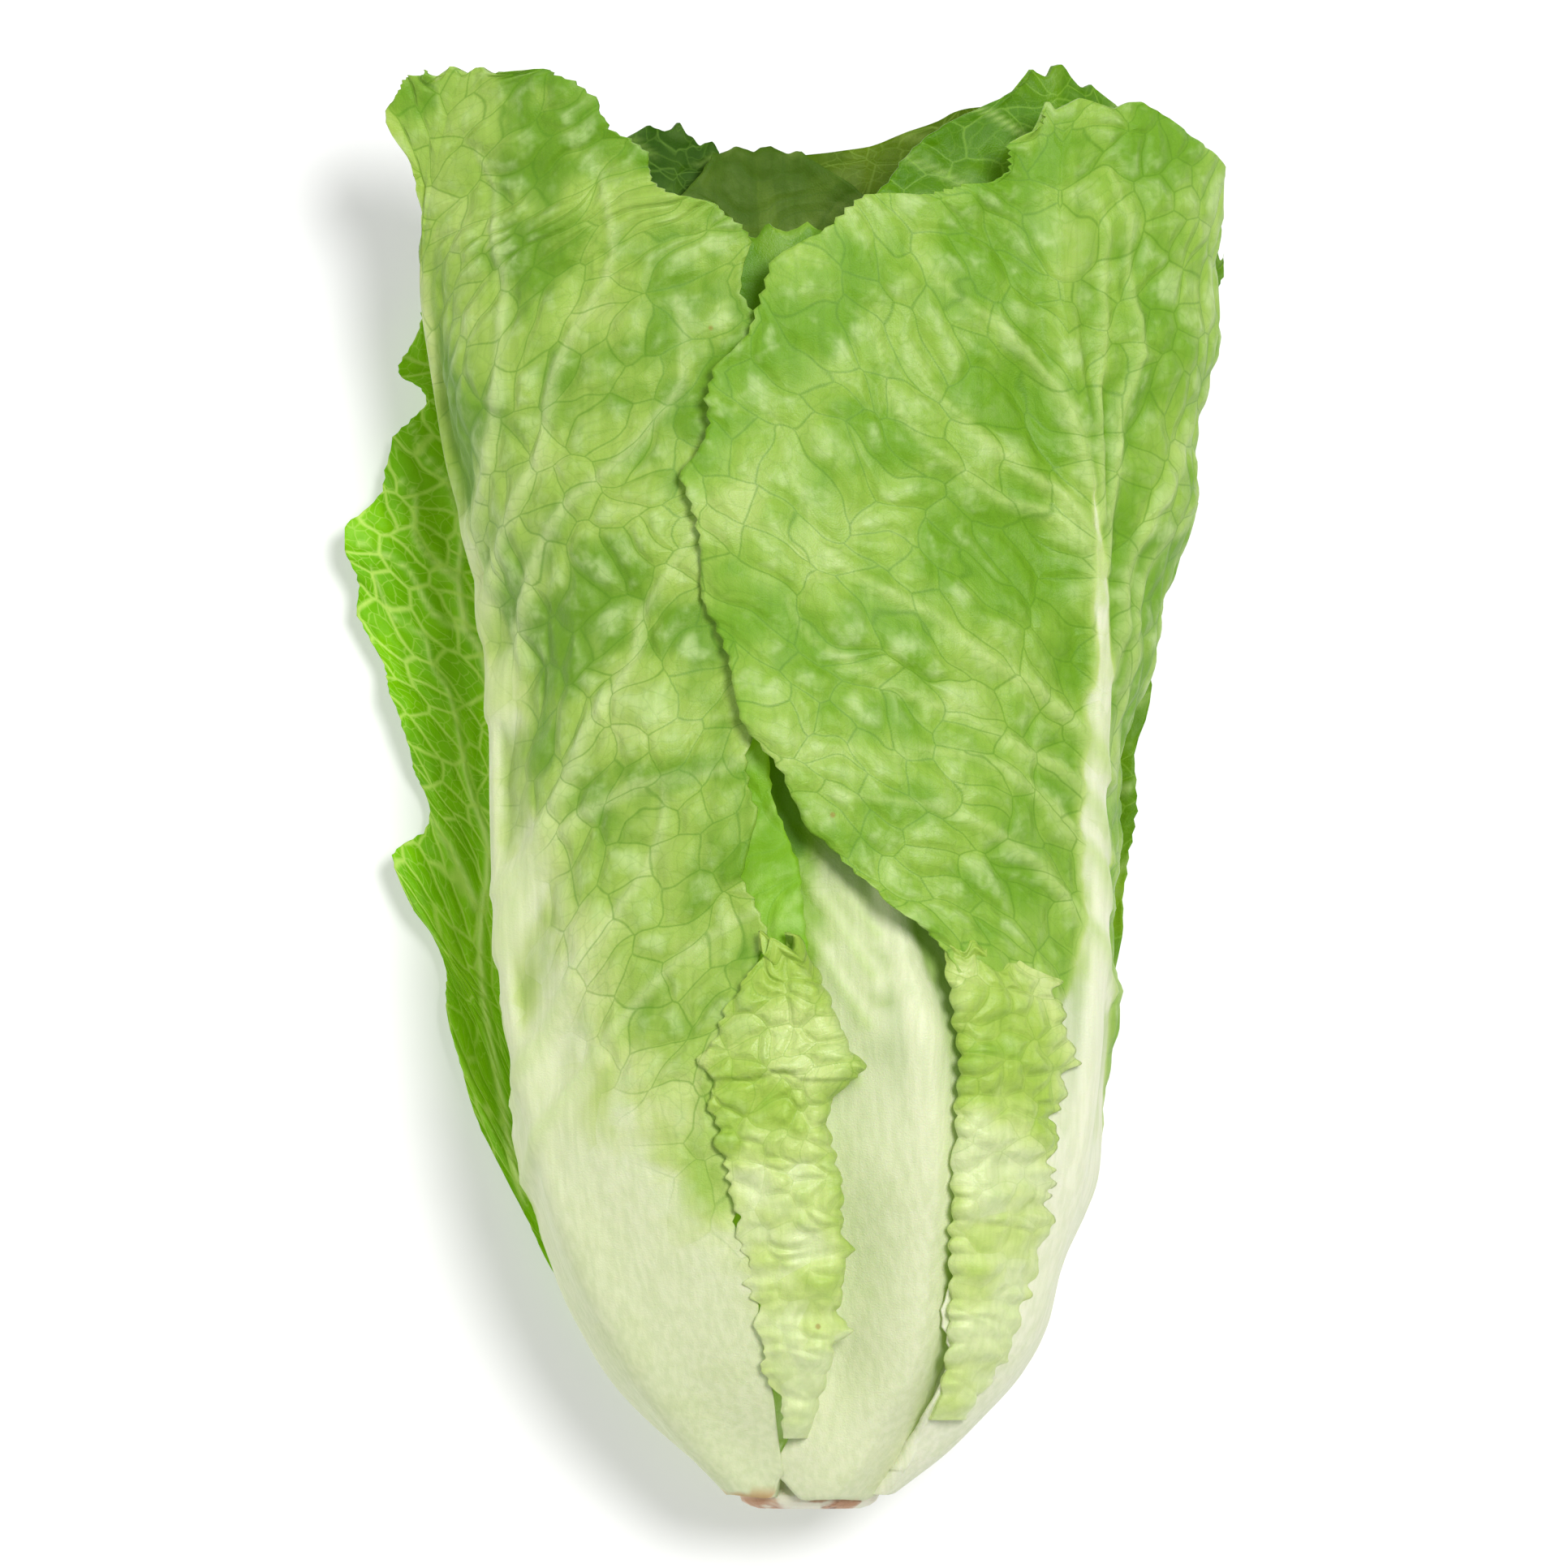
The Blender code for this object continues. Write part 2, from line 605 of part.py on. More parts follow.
def fold_point(rows, hook, along, outer, start_depth, top_depth, turn):
    """Place one point of a folded margin."""
    from_butt = rows[0][0] + (rows[-1][0] - rows[0][0]) * along
    here = Vector(fold_line(rows, from_butt, along, hook, start_depth, top_depth, turn))
    ahead = Vector(fold_line(rows, from_butt, along, min(hook + 0.02, 1.0), start_depth, top_depth, turn))
    behind = Vector(fold_line(rows, from_butt, along, max(hook - 0.02, 0.0), start_depth, top_depth, turn))
    run = (ahead - behind).normalized()
    normal = Vector((run.y, -run.x)) * (BLADE / 2 if outer else -BLADE / 2)
    here += normal
    return on_skin(angle_at("front", here.x, from_butt, 0.0), from_butt, here.y)


def build_fold(name, rows, start_depth, top_depth, turn, collection, material):
    """Make a margin that is folded back over its own blade."""
    mesh_data = slab(9, 20)
    for vertex in mesh_data.verts:
        hook = (vertex.co.x + 1.0) / 2.0
        along = (vertex.co.y + 1.0) / 2.0
        vertex.co = fold_point(rows, hook, along, vertex.co.z > 0.5, start_depth, top_depth, turn)
    return mesh_object(name, mesh_data, collection, material)


def fuse(blade, addition):
    """Join an addition to a blade as one solid."""
    union = blade.modifiers.new("union", "BOOLEAN")
    union.operation = "UNION"
    union.solver = "MANIFOLD"
    union.object = addition
    graph = bpy.context.evaluated_depsgraph_get()
    joined = bpy.data.meshes.new_from_object(blade.evaluated_get(graph))
    joined.name = blade.name
    blade.modifiers.clear()
    old = blade.data
    blade.data = joined
    bpy.data.meshes.remove(old)
    bpy.data.objects.remove(addition)
    blade.data.shade_smooth()


def build_stem(collection):
    """Make the stem: a cut butt with a rim, narrowing to the growing tip inside the head."""
    mesh_data = bmesh.new()
    rings = len(STEM_PROFILE)
    bmesh.ops.create_uvsphere(mesh_data, u_segments=STEM_SIDES, v_segments=rings + 1, radius=1.0)
    for vertex in mesh_data.verts:
        ring = round(math.acos(min(max(vertex.co.z, -1.0), 1.0)) / math.pi * (rings + 1))
        from_butt, radius = STEM_PROFILE[min(max(ring - 1, 0), rings - 1)]
        if ring in (0, rings + 1):
            radius = 0.0
        around = math.atan2(vertex.co.y, vertex.co.x)
        _, _, _, axis, height = skin_at(from_butt)
        vertex.co = Vector((
            axis + radius * math.cos(around),
            from_butt - BUTT_TO_ORIGIN,
            height + radius * math.sin(around),
        ))
    return mesh_object("stem", mesh_data, collection, new_material("stem", (0.80, 0.78, 0.60), 0.5))


def main():
    """Build the head."""
    for thing in list(bpy.data.objects):
        bpy.data.objects.remove(thing)
    collection = bpy.data.collections.new("romaine_heart")
    bpy.context.scene.collection.children.link(collection)
    build_stem(collection)
    leaves = {leaf.name: build_leaf(leaf, collection) for leaf in LEAVES}
    right = leaves["leaf_front_right"]
    fuse(right, build_fold("right_fold", RIGHT_FOLD, 0.5, -3.9, 1.0, collection, right.data.materials[0]))
    inner = leaves["leaf_inner_left"]
    fuse(inner, build_fold("left_fold", LEFT_FOLD, 5.7, -2.7, -1.0, collection, inner.data.materials[0]))


main()
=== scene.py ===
"""The looks of a romaine heart that lies on its back leaves, seen from straight above.

The leaf tips point towards +Y, the cut butt towards -Y, and +Z is up from the surface. Every leaf is one
thin quilted sheet drawn by three lines, its midrib and its two margins, in its own layer of the head.
"""

import logging
import math
from dataclasses import dataclass, replace
from enum import Enum
from functools import reduce

import bmesh
import bpy
import numpy as np
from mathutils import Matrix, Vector


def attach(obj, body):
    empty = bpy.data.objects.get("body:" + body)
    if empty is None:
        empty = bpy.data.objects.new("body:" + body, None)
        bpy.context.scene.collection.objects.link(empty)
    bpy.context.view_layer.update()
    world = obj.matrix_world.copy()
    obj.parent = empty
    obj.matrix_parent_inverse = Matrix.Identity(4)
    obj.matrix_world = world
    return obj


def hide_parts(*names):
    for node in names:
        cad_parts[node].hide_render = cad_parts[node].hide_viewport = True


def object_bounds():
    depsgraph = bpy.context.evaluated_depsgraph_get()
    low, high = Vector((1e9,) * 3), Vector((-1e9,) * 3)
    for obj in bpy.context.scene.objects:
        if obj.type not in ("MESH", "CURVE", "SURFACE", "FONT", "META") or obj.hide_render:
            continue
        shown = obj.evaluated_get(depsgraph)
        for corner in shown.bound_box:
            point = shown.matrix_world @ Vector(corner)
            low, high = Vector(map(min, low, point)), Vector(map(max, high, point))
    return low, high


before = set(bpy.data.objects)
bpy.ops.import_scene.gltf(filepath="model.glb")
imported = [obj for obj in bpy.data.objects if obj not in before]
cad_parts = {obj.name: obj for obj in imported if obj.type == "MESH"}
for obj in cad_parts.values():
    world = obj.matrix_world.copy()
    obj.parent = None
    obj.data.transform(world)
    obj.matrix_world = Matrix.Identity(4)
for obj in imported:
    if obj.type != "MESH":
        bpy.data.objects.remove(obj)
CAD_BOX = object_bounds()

Output = bpy.types.NodeSocket

log = logging.getLogger("romaine_heart")
BODY = "root"

# Lengths are in millimetres, and places along the head are counted from the butt. The rest are shares.
MM = 0.001
BUTT_TO_ORIGIN = 120.0
BLADE = 1.0
CLEARANCE = 0.35
RIB_OUTWARD_SHARE = 0.45
FLOOR_FLAT_HALF = 16.0
FLOOR_CENTRE_X = 4.0
FLOOR_RISE = 0.0042
FLOOR_RISE_REACH = 40.0
FLOOR_EDGE_SLOPE = 0.10
FLOOR_SINK = 0.35
BASE_BLEND = 0.10
TIP_THINNING = 0.85
DRAWN_DEPTH_SHARE = 0.3
BASE_ROUNDING = 4.2
FOLD_BEND = 2.2
FOLD_ROOT = 2.0
FOLD_START = 1.0 / 9.0
FOLD_END = 5.0 / 9.0
HOOK_STEP = 0.02
RIB_FALL = 1.35
NARROWEST = 4.0
VEIN_REACH = 28.0
HOLLOW_EDGE = 3.4
# The share of the half width past which a leaf goes on round the side.
OUTLINE_SHARE = 0.999
TINY = 1e-6
FAR_AWAY = 1e9
# Two sites of the net that are closer than this, in cells, are one, and an edge is never this far.
SAME_CELL = 0.01
FAR = 9.0

# Lengths in metres, as materials take them.
CUT_FADE = 0.003
SCATTER_DEPTH = 0.0025
BUMP_HEIGHT = 0.0004
BUMP_STRENGTH = 0.7
WHITE = (1.0, 1.0, 1.0, 1.0)

# The photo's frame: side veins are given where they lie in it, in pixels.
PHOTO_SIDE = 1932
PHOTO_MM = 0.135
PHOTO_AXIS_X = 967
PHOTO_BUTT_Y = 1860

# The head's outer skin: distance from the butt, half width on the left and right, half height,
# sideways place of its axis, and height of its underside.
SKIN = (
    (0.0, 13.0, 13.0, 12.5, 4.0, 17.5),
    (4.0, 18.0, 18.0, 16.5, 4.2, 14.5),
    (10.0, 25.0, 25.0, 21.0, 4.5, 11.4),
    (19.0, 32.5, 32.0, 26.5, 4.8, 8.8),
    (28.0, 37.6, 37.0, 30.0, 5.0, 7.5),
    (40.0, 42.4, 41.0, 33.0, 4.5, 6.5),
    (55.0, 47.0, 46.5, 36.0, 4.0, 6.0),
    (75.0, 50.0, 50.6, 38.0, 3.5, 5.5),
    (96.0, 51.0, 51.7, 39.0, 3.5, 5.5),
    (116.0, 50.7, 52.5, 39.0, 3.0, 5.5),
    (136.0, 50.8, 56.2, 38.5, 3.0, 5.5),
    (157.0, 53.0, 62.0, 37.5, 3.0, 5.5),
    (175.0, 58.0, 65.5, 37.0, 3.0, 5.5),
    (197.0, 61.6, 68.5, 36.0, 3.0, 5.5),
    (220.0, 65.2, 69.5, 35.0, 3.0, 5.5),
    (243.0, 73.0, 69.0, 34.0, 3.0, 5.5),
)
# The stem's radius along its length, from the cut face to the growing tip.
STEM_PROFILE = (
    (0.0, 8.6),
    (0.5, 10.2),
    (1.2, 11.2),
    (2.2, 11.6),
    (3.2, 11.0),
    (6.0, 11.0),
    (12.0, 11.8),
    (20.0, 12.2),
    (30.0, 10.6),
    (45.0, 7.2),
    (58.0, 3.4),
    (64.0, 0.4),
)
# How far a leaf on the floor is lifted near the butt, against the distance from the butt.
FLOOR_LIFT = (
    (0.0, 18.0),
    (5.0, 14.6),
    (8.0, 12.8),
    (12.0, 10.4),
    (19.0, 7.0),
    (28.0, 4.0),
    (40.0, 1.6),
    (55.0, 0.3),
    (65.0, 0.0),
)
HASH_START = 0xDEADBEEF
HASH_STEPS = ((2, 1, 14), (0, 2, 11), (1, 0, 25), (2, 1, 16), (0, 2, 4), (1, 0, 14), (2, 1, 24))
NEIGHBOURS = tuple((i, j) for j in (-1, 0, 1) for i in (-1, 0, 1))


def read_table(rows: tuple, position: np.ndarray, column: int = 1) -> np.ndarray:
    """Read smooth values from a table whose first column rises.

    Args:
        rows: The table, one tuple a row.
        position: Where to read, in the first column's unit.
        column: The column to read.

    Returns:
        One value for each position.
    """
    grid = np.asarray(rows, float)
    places, values = grid[:, 0], grid[:, column]
    last = len(grid) - 1
    here = np.clip(position, places[0], places[-1])
    index = np.clip(np.searchsorted(places, here, side="right") - 1, 0, last - 1)
    before, after = np.maximum(index - 1, 0), np.minimum(index + 2, last)
    span = places[index + 1] - places[index]
    part = (here - places[index]) / span
    slope_start = (values[index + 1] - values[before]) / (places[index + 1] - places[before]) * span
    slope_end = (values[after] - values[index]) / (places[after] - places[index]) * span
    square, cube = part**2, part**3
    return (
        (2 * cube - 3 * square + 1) * values[index]
        + (cube - 2 * square + part) * slope_start
        + (3 * square - 2 * cube) * values[index + 1]
        + (cube - square) * slope_end
    )


def follow(points: tuple, along: np.ndarray) -> np.ndarray:
    """Follow a smooth line through points.

    Args:
        points: The points, two numbers each.
        along: Where to read, from 0 to 1.

    Returns:
        One place for each value, as rows of two numbers.
    """
    line = np.asarray(points, float)
    count = len(line) - 1
    line = np.vstack([2 * line[0] - line[1], line, 2 * line[-1] - line[-2]])
    place = np.clip(along, 0.0, 1.0) * count
    index = np.minimum(place.astype(int), count - 1)
    part = (place - index)[:, None]
    a, b, c, d = (line[index + k] for k in range(4))
    cubic = (b - c) * 3 + d - a
    return ((cubic * part + (a * 2 - b * 5 + c * 4 - d)) * part + (c - a)) * part * 0.5 + b


def step(low: float, high: float, value: np.ndarray) -> np.ndarray:
    """Rise smoothly from 0 at low to 1 at high."""
    part = np.clip((value - low) / (high - low), 0.0, 1.0)
    return part * part * (3 - 2 * part)


def three_way(values: tuple, along: np.ndarray) -> np.ndarray:
    """Blend from the first value at the base through the second halfway to the third at the tip."""
    base, middle, tip = values
    return base + (middle - base) * step(0.0, 0.5, along) + (tip - middle) * step(0.5, 1.0, along)


def tooth(phase: np.ndarray) -> np.ndarray:
    """Return a rounded saw tooth from -1 to 1 over each whole phase."""
    part = phase - np.floor(phase)
    return 1.0 - 2.0 * np.abs(2.0 * part - 1.0) ** 1.2


def cell_hash(*keys: np.ndarray) -> np.ndarray:
    """Draw the even random number from 0 to 1 that a texture node draws for these keys.

    Args:
        keys: Two or three arrays of whole numbers.

    Returns:
        One number for each set of keys.
    """
    start = np.uint32((HASH_START + (len(keys) << 2) + 13) & 0xFFFFFFFF)
    mixed = [np.full(keys[0].shape, start) for _ in range(3)]
    with np.errstate(over="ignore"):
        for slot, key in enumerate(keys):
            mixed[slot] = mixed[slot] + np.ascontiguousarray(key.astype(np.float32)).view(np.uint32)
        for target, source, turn in HASH_STEPS:
            other = mixed[source]
            turned = (other << np.uint32(turn)) | (other >> np.uint32(32 - turn))
            mixed[target] = (mixed[target] ^ other) - turned
    return mixed[2] / float(0xFFFFFFFF)


def drift(x: np.ndarray, y: np.ndarray, seed: float) -> np.ndarray:
    """Return smooth noise from -1 to 1 that changes over a distance of 1.

    Args:
        x: Places across the noise.
        y: Places along it.
        seed: A number that picks one noise among many.

    Returns:
        One value for each place.
    """
    column, row = np.floor(x), np.floor(y)
    right, up = x - column, y - row
    right, up = right * right * (3 - 2 * right), up * up * (3 - 2 * up)
    key = np.full(x.shape, seed)
    low = cell_hash(column, row, key) * (1 - right) + cell_hash(column + 1, row, key) * right
    high = cell_hash(column, row + 1, key) * (1 - right) + cell_hash(column + 1, row + 1, key) * right
    return 2 * (low * (1 - up) + high * up) - 1


def edge_distance(net: np.ndarray) -> np.ndarray:
    """Measure how far places in a net of cells are from the nearest cell edge.

    Args:
        net: Places in the net, as rows of two numbers.

    Returns:
        One distance for each place, in cells.
    """
    cell = np.floor(net)
    local = net - cell
    ahead = []
    for i, j in NEIGHBOURS:
        column, row = cell[:, 0] + i, cell[:, 1] + j
        site = np.stack([cell_hash(column, row), cell_hash(column, row, np.ones(len(row)))], axis=1)
        ahead.append(site + (i, j) - local)
    ahead = np.stack(ahead)
    own = np.take_along_axis(ahead, (ahead**2).sum(2).argmin(0)[None, :, None], axis=0)
    apart = ahead - own
    width = np.sqrt((apart**2).sum(2))
    reach = ((ahead + own) * apart).sum(2) / 2 / np.maximum(width, TINY)
    return np.where(width > SAME_CELL, reach, FAR).min(0)


def line_distance(points: tuple, x: np.ndarray, y: np.ndarray) -> tuple[np.ndarray, np.ndarray]:
    """Measure how far places are from a smooth line through points.

    Args:
        points: The line's points, in millimetres.
        x: Sideways places.
        y: Places from the butt.

    Returns:
        The distance from the line, and the share of the line's length at the nearest point.
    """
    pieces = 3 * (len(points) - 1)
    line = follow(points, np.linspace(0.0, 1.0, pieces + 1))
    nearest = np.full(x.shape, FAR_AWAY)
    share = np.zeros(x.shape)
    for index in range(pieces):
        start, run = line[index], line[index + 1] - line[index]
        part = ((x - start[0]) * run[0] + (y - start[1]) * run[1]) / max(run @ run, 1e-9)
        part = np.clip(part, 0.0, 1.0)
        gap = np.hypot(x - start[0] - part * run[0], y - start[1] - part * run[1])
        closer = gap < nearest
        nearest = np.where(closer, gap, nearest)
        share = np.where(closer, (index + part) / pieces, share)
    return nearest, share


def from_photo(points: tuple) -> tuple:
    """Turn pixels of the photo into millimetres sideways and from the butt."""
    return tuple(((x - PHOTO_AXIS_X) * PHOTO_MM, (PHOTO_BUTT_Y - y) * PHOTO_MM) for x, y in points)


def colour(red: int, green: int, blue: int) -> tuple:
    """Turn a colour on the screen's scale to 255 into the linear one that shaders take."""
    shares = (value / 255 for value in (red, green, blue))
    return (*(s / 12.92 if s <= 0.04045 else ((s + 0.055) / 1.055) ** 2.4 for s in shares), 1.0)


class Side(Enum):
    """Where a leaf lies in the head."""

    FRONT = "front"
    BACK = "back"
    FLOOR = "floor"


class Head:
    """The outer skin that all leaves are laid under."""

    @staticmethod
    def skin(from_butt: np.ndarray) -> tuple:
        """Return half widths, half height, axis and middle height at places along the head."""
        left, right, half_height, axis, under = (read_table(SKIN, from_butt, k) for k in range(1, 6))
        return left, right, half_height, axis, under + half_height

    @classmethod
    def angle(cls, side: Side, sideways: np.ndarray, from_butt: np.ndarray, depth: np.ndarray) -> np.ndarray:
        """Turn places seen from above into angles round the head.

        Args:
            side: The side of the head that the places are on.
            sideways: Places to the right.
            from_butt: Places along the head.
            depth: Depths below the skin.

        Returns:
            The angles, from the top towards the right. Past the outline they go on round the side.
        """
        left, right, _, axis, _ = cls.skin(from_butt)
        share = (sideways - axis) / (np.where(sideways < axis, left, right) - depth)
        past = np.copysign(math.pi / 2 + (np.abs(share) - 1.0), share)
        turned = np.where(np.abs(share) > OUTLINE_SHARE, past, np.arcsin(np.clip(share, -1.0, 1.0)))
        return math.pi - turned if side is Side.BACK else turned

    @classmethod
    def place(cls, angle: np.ndarray, from_butt: np.ndarray, depth: np.ndarray) -> np.ndarray:
        """Place points of the head.

        Args:
            angle: Angles round the head.
            from_butt: Places along the head.
            depth: Depths below the skin.

        Returns:
            The points, as rows of three numbers.
        """
        left, right, half_height, axis, height = cls.skin(from_butt)
        half = np.where(np.sin(angle) < 0, left, right)
        sideways = axis + (half - depth) * np.sin(angle)
        up = height + (half_height - depth) * np.cos(angle)
        return np.stack([sideways, from_butt - BUTT_TO_ORIGIN, up], 1)

    @classmethod
    def stem_depth(cls, angle: np.ndarray, from_butt: np.ndarray) -> np.ndarray:
        """Measure how far below the skin the stem's surface lies.

        Args:
            angle: Angles round the head.
            from_butt: Places along the head.

        Returns:
            One depth for each place.
        """
        left, right, half_height, _, _ = cls.skin(from_butt)
        half = np.where(np.sin(angle) < 0, left, right)
        radius = read_table(STEM_PROFILE, from_butt)
        return (half - radius) * np.sin(angle) ** 2 + (half_height - radius) * np.cos(angle) ** 2

    @staticmethod
    def floor_height(sideways: np.ndarray, from_butt: np.ndarray) -> np.ndarray:
        """Return the height of the lowest leaves: flat under the head, rising at both sides.

        Args:
            sideways: Places to the right.
            from_butt: Places along the head.

        Returns:
            One height for each place.
        """
        away = np.maximum(np.abs(sideways - FLOOR_CENTRE_X) - FLOOR_FLAT_HALF, 0.0)
        near = np.minimum(away, FLOOR_RISE_REACH)
        rise = FLOOR_RISE * near * near + FLOOR_EDGE_SLOPE * (away - near)
        return read_table(FLOOR_LIFT, from_butt) + rise


@dataclass(frozen=True)
class Socket:
    """One input or output of a node group."""

    name: str
    kind: str
    value: float | tuple | None = None


class Wiring:
    """Adds nodes to one node tree and joins them."""

    def __init__(self, tree: bpy.types.NodeTree) -> None:
        """Keep the tree that nodes are added to."""
        self.tree = tree

    def node(self, kind: str, settings: dict | None = None, **inputs: object) -> bpy.types.Node:
        """Add one node.

        Args:
            kind: The node's type name.
            settings: Properties to set on the node.
            inputs: Values or sockets for its inputs; an underscore in a name stands for a space.

        Returns:
            The new node.
        """
        made = self.tree.nodes.new(kind)
        for name, value in (settings or {}).items():
            setattr(made, name, value)
        for name, value in inputs.items():
            self.feed(made.inputs[int(name[1:]) if name[1:].isdigit() else name.replace("_", " ")], value)
        return made

    def feed(self, socket: Output, value: object) -> None:
        """Join a socket to an input, or set the input's value.

        Args:
            socket: The input.
            value: An output to join, or a plain value.
        """
        if isinstance(value, bpy.types.NodeSocket):
            self.tree.links.new(value, socket)
        else:
            socket.default_value = value

    def maths(self, operation: str, first: object, second: object = 0.0, third: object = 0.0) -> Output:
        """Return the result of one sum."""
        settings = {"operation": operation}
        return self.node("ShaderNodeMath", settings, _0=first, _1=second, _2=third).outputs[0]

    def times(self, first: object, *others: object) -> object:
        """Return values multiplied together."""
        return reduce(lambda left, right: self.maths("MULTIPLY", left, right), others, first)

    def ramp(
        self, value: object, low: float, high: float, start: float = 0.0, end: float = 1.0
    ) -> Output:
        """Return a smooth step of a value between two limits."""
        return self.node(
            "ShaderNodeMapRange",
            {"interpolation_type": "SMOOTHSTEP"},
            Value=value, From_Min=low, From_Max=high, To_Min=start, To_Max=end,
        ).outputs[0]

    def blend(self, share: object, first: object, second: object, mode: str = "MIX") -> Output:
        """Mix two colours.

        Args:
            share: How much of the second colour shows.
            first: The colour below.
            second: The colour laid over it.
            mode: How the second is laid over the first.

        Returns:
            The mixed colour.
        """
        made = self.node("ShaderNodeMix", {"data_type": "RGBA", "blend_type": mode})
        for socket, value in zip((made.inputs[0], made.inputs[6], made.inputs[7]), (share, first, second)):
            self.feed(socket, value)
        return made.outputs[2]

    def noise(self, vector: object, scale: float, detail: float = 2.0, rough: float = 0.5) -> Output:
        """Return the strength of a noise texture."""
        return self.node(
            "ShaderNodeTexNoise", None, Vector=vector, Scale=scale, Detail=detail, Roughness=rough
        ).outputs[0]

    def cells(self, vector: object, feature: str) -> bpy.types.Node:
        """Return a flat net of cells, each about 1 wide."""
        return self.node(
            "ShaderNodeTexVoronoi", {"voronoi_dimensions": "2D", "feature": feature},
            Vector=vector, Scale=1.0, Randomness=1.0,
        )

    def edge(self, vector: object) -> Output:
        """Return how far a place in a flat net is from the nearest cell edge."""
        return self.cells(vector, "DISTANCE_TO_EDGE").outputs["Distance"]


def node_group(name: str, inputs: tuple, outputs: tuple) -> tuple[Wiring, bpy.types.Node, bpy.types.Node]:
    """Start a shader node group.

    Args:
        name: The group's name.
        inputs: Its input sockets.
        outputs: Its output sockets.

    Returns:
        Its wiring, its input node and its output node.
    """
    tree = bpy.data.node_groups.new(name, "ShaderNodeTree")
    for sockets, direction in ((inputs, "INPUT"), (outputs, "OUTPUT")):
        for socket in sockets:
            made = tree.interface.new_socket(socket.name, in_out=direction, socket_type=socket.kind)
            if socket.value is not None:
                made.default_value = socket.value
    wiring = Wiring(tree)
    return wiring, wiring.node("NodeGroupInput"), wiring.node("NodeGroupOutput")


def float_sockets(*names: str) -> tuple:
    """Return plain sockets for one number each."""
    return tuple(Socket(name, "NodeSocketFloat") for name in names)


def vein_net_group() -> bpy.types.NodeTree:
    """Make the group that draws a leaf's net of veins, coarse and fine, from its net coordinates.

    Returns:
        The node group.
    """
    wiring, given, result = node_group(
        "vein_net",
        (
            Socket("Net", "NodeSocketVector"),
            Socket("Width", "NodeSocketFloat", 0.05),
            Socket("Fine Scale", "NodeSocketFloat", 2.7),
        ),
        float_sockets("Coarse", "Fine", "Cell", "Pillow", "Fine Pillow"),
    )
    net = given.outputs["Net"]
    edge = wiring.edge(net)
    share = wiring.maths("DIVIDE", edge, given.outputs["Width"])
    wiring.feed(result.inputs["Coarse"], wiring.ramp(share, 0.0, 1.0, 1.0, 0.0))
    wiring.feed(result.inputs["Pillow"], wiring.ramp(edge, 0.0, 0.30))
    bent = wiring.node("ShaderNodeTexNoise", None, Vector=net, Scale=2.0, Detail=1.0).outputs["Color"]
    adding = {"operation": "MULTIPLY_ADD"}
    moved = wiring.node("ShaderNodeVectorMath", adding, _0=bent, _1=(0.35, 0.35, 0.0), _2=net).outputs[0]
    scaling = {"operation": "SCALE"}
    scaled = wiring.node("ShaderNodeVectorMath", scaling, _0=moved, Scale=given.outputs["Fine Scale"])
    fine = wiring.edge(scaled.outputs[0])
    wiring.feed(result.inputs["Fine"], wiring.ramp(fine, 0.0, 0.09, 1.0, 0.0))
    wiring.feed(result.inputs["Fine Pillow"], wiring.ramp(fine, 0.0, 0.34))
    wiring.feed(result.inputs["Cell"], wiring.cells(net, "F1").outputs["Color"])
    return wiring.tree


def leaf_grain_group() -> bpy.types.NodeTree:
    """Make the group of patches, streaks, specks and fine grain that every part of the head shares.

    Returns:
        The node group.
    """
    wiring, given, result = node_group(
        "leaf_grain",
        (Socket("Place", "NodeSocketVector"), Socket("Streak Scale", "NodeSocketFloat", 900.0)),
        float_sockets("Patch", "Streak", "Grain", "Speck", "Bloom And Sheen"),
    )
    place = given.outputs["Place"]
    wiring.feed(result.inputs["Patch"], wiring.noise(place, 60.0, 3.0))
    # Noise patches where the pale wax bloom and the painted sheen are laid.
    wiring.feed(result.inputs["Bloom And Sheen"], wiring.noise(place, 150.0, 3.0, 0.6))
    drawn = wiring.node("ShaderNodeMapping", None, Vector=place, Scale=(1.0, 0.06, 1.0)).outputs[0]
    wiring.feed(result.inputs["Streak"], wiring.noise(drawn, given.outputs["Streak Scale"], 2.0))
    wiring.feed(result.inputs["Grain"], wiring.noise(place, 3200.0, 2.0, 0.6))
    spots = wiring.node("ShaderNodeTexVoronoi", None, Vector=place, Scale=70.0, Randomness=1.0)
    near = wiring.ramp(spots.outputs["Distance"], 0.02, 0.045, 1.0, 0.0)
    chosen = wiring.ramp(wiring.noise(place, 40.0, 0.0), 0.56, 0.62)
    wiring.feed(result.inputs["Speck"], wiring.times(near, chosen))
    return wiring.tree


class Finishes:
    """The node groups that all finishes share, made once."""

    net: bpy.types.NodeTree
    grain: bpy.types.NodeTree

    @classmethod
    def prepare(cls) -> None:
        """Make the shared groups."""
        cls.net = vein_net_group()
        cls.grain = leaf_grain_group()


